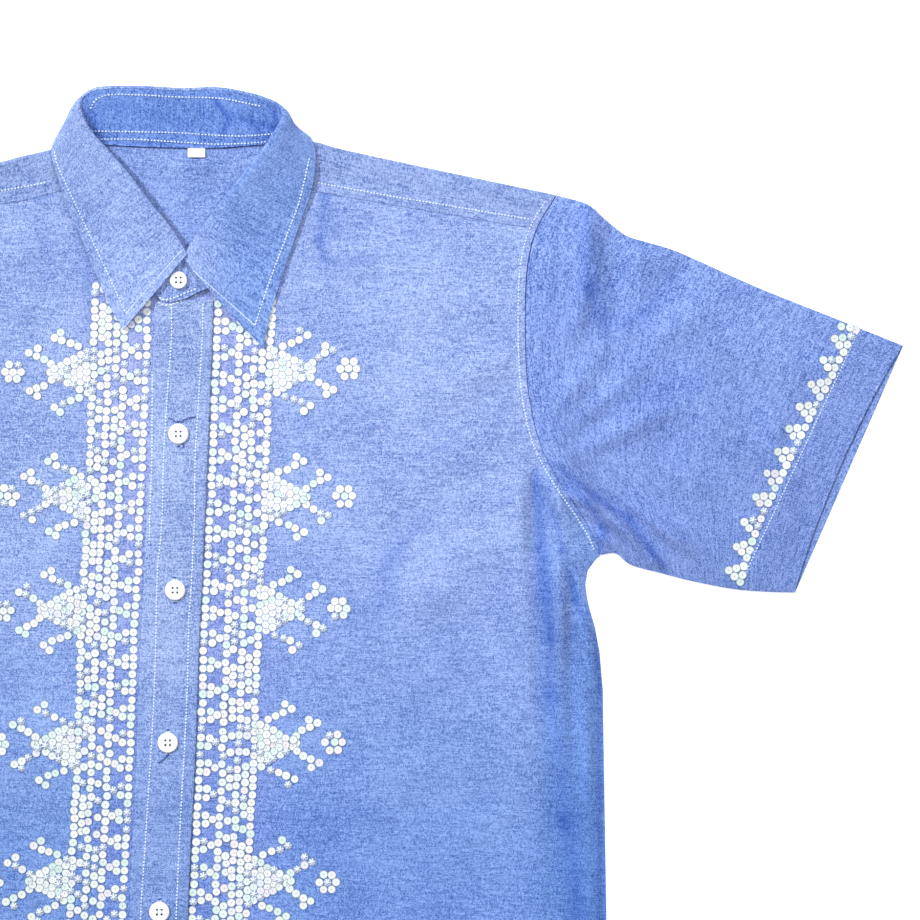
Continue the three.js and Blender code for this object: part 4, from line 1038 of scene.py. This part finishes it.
band_rows = [
    [(-18.4, 250.5), (-18.9, 233), (-19.2, 149), (-20.2, 123), (-21.0, 94)],
    [(-6.5, 250.5), (-6.4, 230), (-8.7, 197.6), (-11.6, 149), (-12.3, 116.4), (-13.8, 93.6), (-15, 83.9),
     (-16.2, 58), (-16.6, 32), (-17.9, -7), (-23.3, -98), (-26.7, -150), (-34.6, HEM_Y + 2)],
    [(14.0, 250.5), (13.7, 233), (11.7, 197.6), (8.9, 149), (8.5, 110), (7.5, 90), (6.2, 64), (5.0, 48),
     (4.5, 32), (3.5, -7), (-1.3, -98), (-3.5, -150), (-11.6, HEM_Y + 2)],
]
sew("band_stitches", 3, stitch_rows(band_surface, [bend(row, 8) for row in band_rows]))

arm_line = bend(armhole)
arm_inner = arm_line + np.stack([0.9 * smooth(130, 92, arm_line[:, 1]) - 4.3, 0 * arm_line[:, 1]], -1)
arm_inner = arm_inner[(arm_inner[:, 1] > 90) & (arm_inner[:, 1] < 317)]
sew("armhole_stitches", 4, stitch_rows(front_surface, both_sides(arm_inner)), width=1.05)

# Dark blue thread closes the armhole seam itself, pulled tight over the shoulder. Its dark row also stands
# for the seam's shadow line: painted shade.
seam_surface = surface_of(right_sleeve, left_sleeve, right_front, left_front, yoke)
seam_line = arm_line + (0.25, 0)
for part, low_end, high_end, pitch, long, wide in (
        ("tight", 246, 320.6, 1.6, 2.2, 0.62), ("open", 104, 246, 2.15, 1.4, 0.5)):
    inside = seam_line[(seam_line[:, 1] > low_end) & (seam_line[:, 1] < high_end)]
    sew("armhole_seam_" + part, 15, stitch_rows(seam_surface, both_sides(inside), pitch, 0.05),
        long, wide, blue_thread)

across = np.linspace(88, 226, 40)
yoke_line = np.stack([across, np.interp(across, *yoke_seam[1].T) + 5.6], -1)
sew("yoke_stitches", 5, stitch_rows(front_surface, both_sides(yoke_line)))
sew("sleeve_hem_stitches", 6, stitch_rows(
    sleeve_surface, both_sides([(364.8, 73.0), (438.8, 231.5)])), width=0.8)
sew("hem_stitches", 7, stitch_rows(front_surface, both_sides([(20, HEM_Y + 9), (274, HEM_Y + 9)])))

# A line of the leaf's stitches runs 4.5 mm inside its edge, along both fronts and round the neck.
left_leaf_line = [(83.2, 344.7), (80.9, 334.1), (76.0, 314.6), (70.2, 299.0), (56.9, 263.6), (47.8, 236.0)]
right_leaf_line = [(-82.0, 349.0), (-80.3, 340.0), (-58.5, 293.0), (-36.2, 244.8)]
leaf_fronts = [[(47.8, 236.0), (4.6, 274.4)], [(-36.0, 243.6), (0.6, 284.4)]]
sew("leaf_stitches", 8, stitch_rows(leaf_surface, [bend(left_leaf_line, 8), right_leaf_line]), width=1.12)
sew("leaf_front_stitches", 14, stitch_rows(leaf_surface, leaf_fronts, 2.1, 0.05), 2.3, 0.6)
stand_lines = [
    [(-58.5, 375.5), (-55, 381), (-48, 384.4), (-26, 384.6), (0, 383.2), (26, 382.4), (52, 377.4)],
    [(-58.5, 362.0), (-30, 361.5), (-1, 360.8), (20, 359.4), (41, 358.8), (60, 360.2)],
    [(-55.0, 356.8), (-33, 356.8), (-11, 355.6), (5, 354.6), (20, 353.7), (38, 354.0), (57.5, 355.4)],
]
sew("stand_stitches", 9, stitch_rows(stand_surface, [bend(line, 6) for line in stand_lines]), width=1.1)
tab_line = [(-14.8, 254.4), (-10.4, 252.6), (-4, 254.2), (2, 256.8), (10, 260.0)]
band_end_line = [(-15.6, 251.6), (-10.6, 249.2), (-3.6, 250.6), (3, 253.6), (10, 256.4)]
sew("neck_stitches", 10, [
    stitch_row(surface_of(stand, band), bend(tab_line, 6), 2.3),
    stitch_row(surface_of(band, left_front), bend(band_end_line, 6), 2.3)], length=1.8)

# ---------------------------------------------------------------- neck label
# A small plain tape of white satin, caught under the neck seam and left bare.
label_finish = Finish("white_tape", roughness=0.55, sheen_weight=0.2)
ribs = label_finish.node("ShaderNodeTexWave", {"bands_direction": "Y"}, {
    "Vector": label_finish.node("ShaderNodeTexCoord", output=3), "Scale": 900.0, "Distortion": 0.6})
label_finish.feed("Base Color", label_finish.blend(ribs, (0.80, 0.83, 0.88), (0.93, 0.94, 0.95)))
label_finish.bump(ribs, 0.00006)
LABEL_X, LABEL_Y, LABEL_WIDE, LABEL_DEEP = 9.65, 345.3, 11.3, 6.9
label_us, label_vs = np.linspace(-0.5, 0.5, 15), np.linspace(0, 1, 9)
label_net = np.stack(np.meshgrid(LABEL_X + label_us * LABEL_WIDE, LABEL_Y + label_vs * LABEL_DEEP), -1)
curl = 0.5 * (1 - label_vs[:, None]) ** 2 + 0.15 * np.cos(label_us[None] * 5) * (1 - label_vs[:, None])
label_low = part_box("neck_label")[0].z / MM
label = wall("label_tape", with_height(label_net, label_low + 0.6 + curl),
             with_height(label_net, label_low + curl), label_net, label_finish.material)
settle(label, "label", "neck_label")

# ---------------------------------------------------------------- buttons
# Six four-hole buttons of pearly white resin, with a turned rim and a shallow dish, sewn on with
# white thread. The top one is smaller, and the others pass through worked upright buttonholes.
button_finish = Finish("pearl_resin", roughness=0.28, specular_ior_level=0.5, coat_weight=0.25)
button_finish.feed("Base Color", button_finish.blend(
    button_finish.noise(260.0, 2.0), (0.76, 0.78, 0.80), (0.92, 0.93, 0.93)))
# The holes' walls are near black: painted shade inside the holes.
hole_finish = Finish("shaded_hole", base_color=(0.05, 0.06, 0.09, 1), roughness=0.8)
HOLE_AT, HOLE_R, DISH = 1.5, 0.78, 0.88
RIM_SIDES, HOLE_SIDES = 48, 12
CORNERS = [(-1, -1), (1, -1), (1, 1), (-1, 1)]
# Each row of the profile is a share of the radius and a share of the thickness.
BUTTON_PROFILE = [(0.74, 0.0), (0.93, 0.10), (1.0, 0.42), (0.985, 0.72), (0.93, 0.94), (0.86, 1.0),
                  (0.78, 0.99), (0.70, 0.93), (0.62, 0.89), (0.55, DISH)]


def looped(ring):
    """Each corner of a closed ring with the next one."""
    return zip(ring, ring[1:] + ring[:1])


def make_button(node):
    low, high = (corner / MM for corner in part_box(node))
    middle, radius, thick_by = (low + high) / 2, (high.x - low.x) / 2, high.z - low.z
    bm = bmesh.new()

    def ring(x, y, radius, z, count):
        turns = 2 * math.pi * np.arange(count) / count
        return [bm.verts.new((x + radius * math.cos(a), y + radius * math.sin(a), z)) for a in turns]

    def join(first, second, material=0):
        for (a, b), (d, c) in zip(looped(first), looped(second)):
            bm.faces.new((a, b, c, d)).material_index = material

    rings = [ring(0, 0, radius * share_r, low.z + thick_by * share_z, RIM_SIDES)
             for share_r, share_z in BUTTON_PROFILE]
    for lower_ring, upper_ring in zip(rings, rings[1:]):
        join(lower_ring, upper_ring)
    # The dish and the underside are plates with four round holes, joined through the thickness.
    plates = []
    for rim, z in ((rings[-1], low.z + thick_by * DISH), (rings[0], low.z)):
        holes = [ring(sx * HOLE_AT, sy * HOLE_AT, HOLE_R, z, HOLE_SIDES) for sx, sy in CORNERS]
        edges = [bm.edges.get(pair) or bm.edges.new(pair)
                 for loop in (rim, *holes) for pair in looped(loop)]
        bmesh.ops.triangle_fill(bm, edges=edges, use_beauty=True)
        plates.append(holes)
    for upper_hole, lower_hole in zip(*plates):
        join(upper_hole, lower_hole, 1)
    bmesh.ops.recalc_face_normals(bm, faces=bm.faces)
    bmesh.ops.translate(bm, verts=bm.verts, vec=(middle.x, middle.y, 0))
    bmesh.ops.scale(bm, verts=bm.verts, vec=(MM, MM, MM))
    mesh = bpy.data.meshes.new(node + "_resin")
    bm.to_mesh(mesh)
    bm.free()
    mesh.polygons.foreach_set("use_smooth", np.ones(len(mesh.polygons), bool))
    mesh.set_sharp_from_angle(angle=math.radians(42))
    mesh.materials.append(button_finish.material)
    mesh.materials.append(hole_finish.material)
    settle(linked(node + "_resin", mesh), "button", node)
    return middle.x, middle.y, low.z + thick_by * DISH


def crossed(rows, way):
    """Rows of stitches whose bars all lie one way."""
    return [(points, np.tile(way, (len(points), 1)), ups) for points, _, ups in rows]


button_places = [make_button(f"button_{i}") for i in range(1, 7)]
bars = [([(bx + offset, by, bz + 0.22)], [(0, 1, 0)], [(0, 0, 1)])
        for bx, by, bz in button_places
        for offset in (-HOLE_AT - 0.25, -HOLE_AT + 0.25, HOLE_AT - 0.25, HOLE_AT + 0.25)]
sew("button_threads", 11, bars, 2.5, 0.42)
SLIT_LONG, SLIT_WIDE = 15.5, 2.6
slit_sides, slit_ends = [], []
for bx, by, _ in button_places[1:]:
    for x in (bx - SLIT_WIDE / 2 + 0.55, bx + SLIT_WIDE / 2 - 0.55):
        slit_sides.append([(x, by - SLIT_LONG / 2), (x, by + SLIT_LONG / 2)])
    for y in (by - SLIT_LONG / 2 - 0.3, by + SLIT_LONG / 2 + 0.3):
        slit_ends.append([(bx - SLIT_WIDE / 2, y), (bx + SLIT_WIDE / 2, y)])
sew("buttonhole_stitches", 12, crossed(stitch_rows(band_surface, slit_sides, 0.42, 0.05), (1.0, 0.0, 0.0)),
    1.25, 0.42)
sew("buttonhole_tacks", 13, crossed(stitch_rows(band_surface, slit_ends, 0.45, 0.12), (0.0, 1.0, 0.0)),
    1.5, 0.45, blue_thread)

# ---------------------------------------------------------------- sequins
# Flat iridescent sequins, 5.4 to 6 mm across, each held at its middle. Four upright lines run
# beside each edge of the button band, with arrows and single sequins between them. Stepped
# triangles with rays and a rosette of seven stand outside them. Some are clear and show threads.
SEQUIN_R = 2.93
dice = np.random.default_rng(41)
FILM = [(0.0, (0.70, 0.73, 0.72)), (0.38, (0.67, 0.73, 0.72)), (0.54, (0.51, 0.68, 0.65)),
        (0.68, (0.68, 0.73, 0.72)), (0.86, (0.72, 0.67, 0.69)), (0.96, (0.62, 0.63, 0.77)),
        (1.0, (0.66, 0.75, 1.0))]
CLEAR_TINT, SHOWN_THROUGH = 3.0, 0.66


def grey(level):
    return (level, level, level)


sequin_finish = Finish("iridescent_film", roughness=0.3, specular_ior_level=0.5)
tint = sequin_finish.attribute("tint")
from_middle = sequin_finish.node("ShaderNodeVectorMath", {"operation": "LENGTH"}, {
    0: sequin_finish.attribute("disc", 1)}, output=1)
# Painted sheen: noise lightens the film in patches.
film = sequin_finish.blend(sequin_finish.noise(420.0, 1.0) * 0.35, sequin_finish.ramp(tint, *FILM),
                           (0.76, 0.79, 0.78))
# A dark dot in the middle is the thread hole with painted shade in it, and a dark ring at the rim is the
# painted shadow round each sequin.
for stops, shade in (((0.08, grey(0.85)), (0.17, grey(0.0))), (0.16, 0.20, 0.26)), \
                    (((0.82, grey(0.0)), (0.92, grey(0.95))), (0.10, 0.16, 0.30)):
    film = sequin_finish.blend(sequin_finish.ramp(from_middle, *stops), film, shade)
sequin_finish.feed("Base Color", film)
sequin_finish.feed("Alpha", 1 - tint.maths("GREATER_THAN", tint, CLEAR_TINT - 1) * SHOWN_THROUGH)


def sequin_tree():
    tree, add, given = node_tree("sequins", ("Radius", "Float"), ("Depth", "Float"), ("Tilt", "Float"))
    plate = add("GeometryNodeMeshCylinder", {"fill_type": "NGON"}, {
        "Vertices": 12, "Radius": given["Radius"], "Depth": given["Depth"]})
    dished = add("GeometryNodeExtrudeMesh", {"mode": "FACES"}, {
        "Mesh": plate, "Selection": plate.also("Top"), "Offset Scale": 0.0, "Individual": True})
    middle = dished.also("Top")
    dished = add("GeometryNodeScaleElements", {"domain": "FACE"}, {
        "Geometry": dished, "Selection": middle, "Scale": 0.42})
    dished = add("GeometryNodeSetPosition", {}, {
        "Geometry": dished, "Selection": middle,
        "Offset": add("ShaderNodeCombineXYZ", {}, {"Z": given["Depth"] * -0.4})})
    flat_place = add("ShaderNodeVectorMath", {"operation": "MULTIPLY"}, {
        0: add("GeometryNodeInputPosition"), 1: (1, 1, 0)})
    share = add("ShaderNodeVectorMath", {"operation": "SCALE"}, {
        0: flat_place, "Scale": given["Radius"].maths("DIVIDE", 1.0, given["Radius"])})
    marked = add("GeometryNodeStoreNamedAttribute", {"data_type": "FLOAT_VECTOR", "domain": "POINT"}, {
        "Geometry": dished, "Name": "disc", "Value": share})
    lean = add("ShaderNodeCombineXYZ", {}, {"X": given["Tilt"], "Y": given["Tilt"], "Z": 3.1})
    size = add("FunctionNodeRandomValue", {"data_type": "FLOAT"}, {
        2: 0.93, 3: 1.03, "Seed": given["Seed"]}, output=1)
    return lay(tree, add, given, marked, lean, size, smooth_faces=False)


def star_tree():
    """Three crossed threads, which hold a sequin down."""
    tree, add, given = node_tree("thread_stars", ("Length", "Float"), ("Width", "Float"))
    bar = add("GeometryNodeMeshCylinder", {}, {
        "Vertices": 6, "Radius": given["Width"] * 0.5, "Depth": given["Length"]})
    join = tree.nodes.new("GeometryNodeJoinGeometry")
    for third in range(3):
        turned = add("GeometryNodeTransform", {}, {
            "Geometry": bar, "Rotation": (math.pi / 2, 0, third * math.pi / 3)})
        tree.links.new(turned.plug, join.inputs[0])
    return lay(tree, add, given, Socket(join.outputs[0]), (0.1, 0.1, 0.5), (1, 1, 1))


sequins, stars = sequin_tree(), star_tree()

# The chart of one motif: (out from line D, up from its axis), its lower half the mirror of this.
COLUMN_STEP, ROW_STEP = 4.15, 4.5
triangle = [(COLUMN_STEP * i, ROW_STEP * (j - (7 - i) / 2)) for i in range(1, 7) for j in range(8 - i)]
fork = [(27.6, 0), (27.4, 5.1), (27.4, -5.1)]
upper_rays = [(9.6, 16.6), (14.9, 18.3), (20.0, 20.3), (21.2, 26.0), (25.6, 22.7),
              (31.8, 8.2), (36.6, 10.4), (36.6, 15.6), (41.4, 12.6)]
rosette = [(51.8, 0)] + [(51.8 + 5.4 * math.cos(a), 5.4 * math.sin(a)) for a in np.arange(6) * math.pi / 3]
motif = triangle + fork + upper_rays + [(dx, -dy) for dx, dy in upper_rays] + rosette
motif_heights = [206.0, 124.8, 51.4, -36.4, -123.5, -205.5, -288.0, -366.0]
# How far out line A stands, and how much further lines B, C and D do.
LINES = {1: (22.2, 14.6, 24.8, 34.8), -1: (23.4, 14.3, 24.7, 34.0)}
# For each line, the distance between sequins, its start above LINE_START and its unevenness.
LINE_START = 262.0
LINE_STEPS = [(5.6, 0, 0.25), (5.5, -1, 0.3), (5.45, 1, 0.3), (5.15, 0, 0.3)]


def column(side, out, step, start, wander):
    """One upright line of sequins, whose distances vary as hand work does."""
    y, places = start, []
    while y > HEM_Y + 5:
        places.append((side * out + band_x(y) + dice.normal(0, wander), y))
        y -= step * (1 + dice.normal(0, 0.03))
    return places


def side_chart(side):
    first, *further = LINES[side]
    outs = [first, *(first + gap for gap in further)]
    lines = [column(side, out, step, LINE_START + above, wander)
             for out, (step, above, wander) in zip(outs, LINE_STEPS)]
    places = sum(lines, [])
    for i in range(1, len(lines[0]) - 1, 3):
        (x0, y0), (x1, y1) = lines[0][i:i + 2]
        places += [(x0 + side * 5.4, y0), (x1 + side * 5.4, y1),
                   ((x0 + x1) / 2 + side * 9.9, (y0 + y1) / 2)]
    for line, out, share in ((lines[1], (outs[1] + outs[2]) / 2, 0.45),
                             (lines[3], (outs[2] + outs[3]) / 2, 0.4)):
        for i, ((_, y0), (_, y1)) in enumerate(zip(line, line[1:])):
            if i % 2 == 0 or dice.uniform() < share:
                places.append((out * side + band_x(y0), (y0 + y1) / 2))
    for axis in motif_heights:
        lean = dice.normal(0, 0.025)
        for dx, dy in motif:
            x = band_x(axis) + side * (outs[3] + dx - dy * lean)
            places.append((x, axis + dy + dx * lean * side))
    places = np.array(places)
    places += dice.normal(0, 0.28, places.shape)
    return places[places[:, 1] > HEM_Y + 4]


def sprinkle(name, tree, places, seed):
    """Sews sequins at the places, some of them clear over a star of threads."""
    points, ups = dropped(tree, places, 0.2)
    points[:, 2] += dice.uniform(0, 0.35, len(points))
    tints = dice.uniform(0, 1, len(points))
    drift = np.sin(points[:, 1] / 23.0 + seed) * np.sin(points[:, 0] / 17.0)
    clear = dice.uniform(0, 1, len(points)) < 0.17 + 0.10 * drift
    tints[clear] = CLEAR_TINT
    grown(name, "sequin", sequins, points, {"up": ups}, {"tint": tints}, {
        "Radius": SEQUIN_R * MM, "Depth": 0.16 * MM, "Tilt": 0.06, "Seed": seed,
        "Material": sequin_finish.material})
    grown(name + "_threads", "thread", stars, points[clear] + (0, 0, 0.26), {"up": ups[clear]}, {}, {
        "Length": 4.9 * MM, "Width": 0.72 * MM, "Seed": seed, "Material": white_thread.material})


sprinkle("right_front_sequins", front_surface, side_chart(-1), 21)
sprinkle("left_front_sequins", front_surface, side_chart(1), 22)

# The sleeves' trim: one line of sequins on the hem's stitches, with stepped triangles of six
# standing on it towards the body.
sleeve_line = Path(bend(np.array([
    (361.6, 67.4), (367.4, 87.1), (377.8, 115.7), (386.2, 132.5), (398.6, 157.8),
    (405.8, 172.3), (415.5, 192.0), (428.5, 217.0), (435.6, 231.6)]), 8))


def sleeve_chart(side):
    count = 33
    shares = (np.arange(count) + 0.4) / count
    line = sleeve_line(shares)
    ahead = np.gradient(line, axis=0)
    inward = np.stack([-ahead[:, 1], ahead[:, 0]], -1) / np.linalg.norm(ahead, axis=1)[:, None]
    places = [*line, (428.6, 235.6), (433.4, 234.2), (437.6, 233.6)]
    for i in range(0, count - 1, 3):
        places += [line[i + k] + ahead[i] * 0.5 + inward[i] * 4.5 for k in (0, 1)]
        places.append(line[i + 1] + inward[i] * 9.0)
    places = np.array(places) + dice.normal(0, 0.25, (len(places), 2))
    return places * (side, 1)


sprinkle("right_sleeve_sequins", sleeve_surface, sleeve_chart(-1), 23)
sprinkle("left_sleeve_sequins", sleeve_surface, sleeve_chart(1), 24)

# ---------------------------------------------------------------- loose threads
# Short cut ends of blue sewing thread by two of the buttonholes.
END_R, END_SIDES = 0.28, 6


def thread_end(name, button, places):
    """An end of thread on the band, through places that are measured from a button's middle."""
    line = bend(np.array(places) + (*button[:2], 0), 8)
    ground, _ = dropped(band_surface, line[:, :2], 0.4)
    ground[:, 2] += line[:, 2]
    ahead = unit(np.gradient(ground, axis=0))
    side_way = unit(np.cross(ahead, (0, 0, 1.0)))
    up_way = np.cross(side_way, ahead)
    angles = np.arange(END_SIDES)[None, :, None] * 2 * math.pi / END_SIDES
    rings = ground[:, None] + END_R * (
        np.cos(angles) * side_way[:, None] + np.sin(angles) * up_way[:, None])
    index = np.arange(len(ground) * END_SIDES).reshape(-1, END_SIDES)
    after = np.roll(index, -1, axis=1)
    faces = np.stack([index[:-1], index[1:], after[1:], after[:-1]], -1).reshape(-1, 4).tolist()
    faces += [np.roll(index[0], 1).tolist(), after[-1, ::-1].tolist()]
    settle(make_object(name, rings.reshape(-1, 3), faces, blue_thread.material, sharp=180), "thread")


thread_end("thread_end_1", button_places[1], [
    (-6.5, 10.4, 0), (-3.5, 9.2, 0.5), (-1, 7.4, 0.2), (2, 8.0, 0.3), (6, 10.2, 0.6), (11.5, 11.2, 0)])
thread_end("thread_end_2", button_places[1], [(2.6, -9.2, 0), (3.6, -7.2, 0.4), (2.0, -5.6, 0.1)])
thread_end("thread_end_3", button_places[3], [
    (-6.8, -13.6, 0), (-4, -11.6, 0.5), (-1, -9.0, 0.3), (0.4, -7.0, 0)])

# ---------------------------------------------------------------- floor and light
# A plain pale surface that glows a little, pale room light, a soft lamp high over the collar, and
# two windows beyond the collar, the stronger on the viewer's left.
FLOOR_HALF, FLOOR_Z = 9000, -0.4
floor_finish = Finish("pale_surface", base_color=(0.94, 0.94, 0.94, 1), roughness=0.9,
                      emission_color=(1, 1, 1, 1), emission_strength=0.62)
floor = make_object("floor", [(sx * FLOOR_HALF, sy * FLOOR_HALF, FLOOR_Z) for sx, sy in CORNERS],
                    [(0, 1, 2, 3)], floor_finish.material)
scene = bpy.context.scene
scene.view_settings.view_transform = "Standard"
world = bpy.data.worlds.new("room")
scene.world = world
world.use_nodes = True
room = world.node_tree.nodes["Background"].inputs
room["Color"].default_value = (0.95, 0.97, 1.0, 1)
room["Strength"].default_value = 0.35


def hang(name, kind, place, aim, energy, **settings):
    lamp_data = bpy.data.lights.new(name, kind)
    lamp_data.energy = energy
    for key, value in settings.items():
        setattr(lamp_data, key, value)
    lamp = linked(name, lamp_data)
    lamp.location = place
    lamp.rotation_euler = (Vector(aim) - lamp.location).to_track_quat("-Z", "Y").to_euler()
    return lamp


high_lamp = hang("high_lamp", "AREA", (0.07, 0.27, 0.62), (0.08, 0.22, 0), 1.3, shape="DISK", size=0.45)
high_lamp.visible_camera = False
hang("window", "SUN", (-1.35, 1.1, 1.62), (0, 0, 0), 3.05, angle=math.radians(8))
hang("far_window", "SUN", (1.3, 1.5, 1.9), (0, 0, 0), 0.85, angle=math.radians(14))
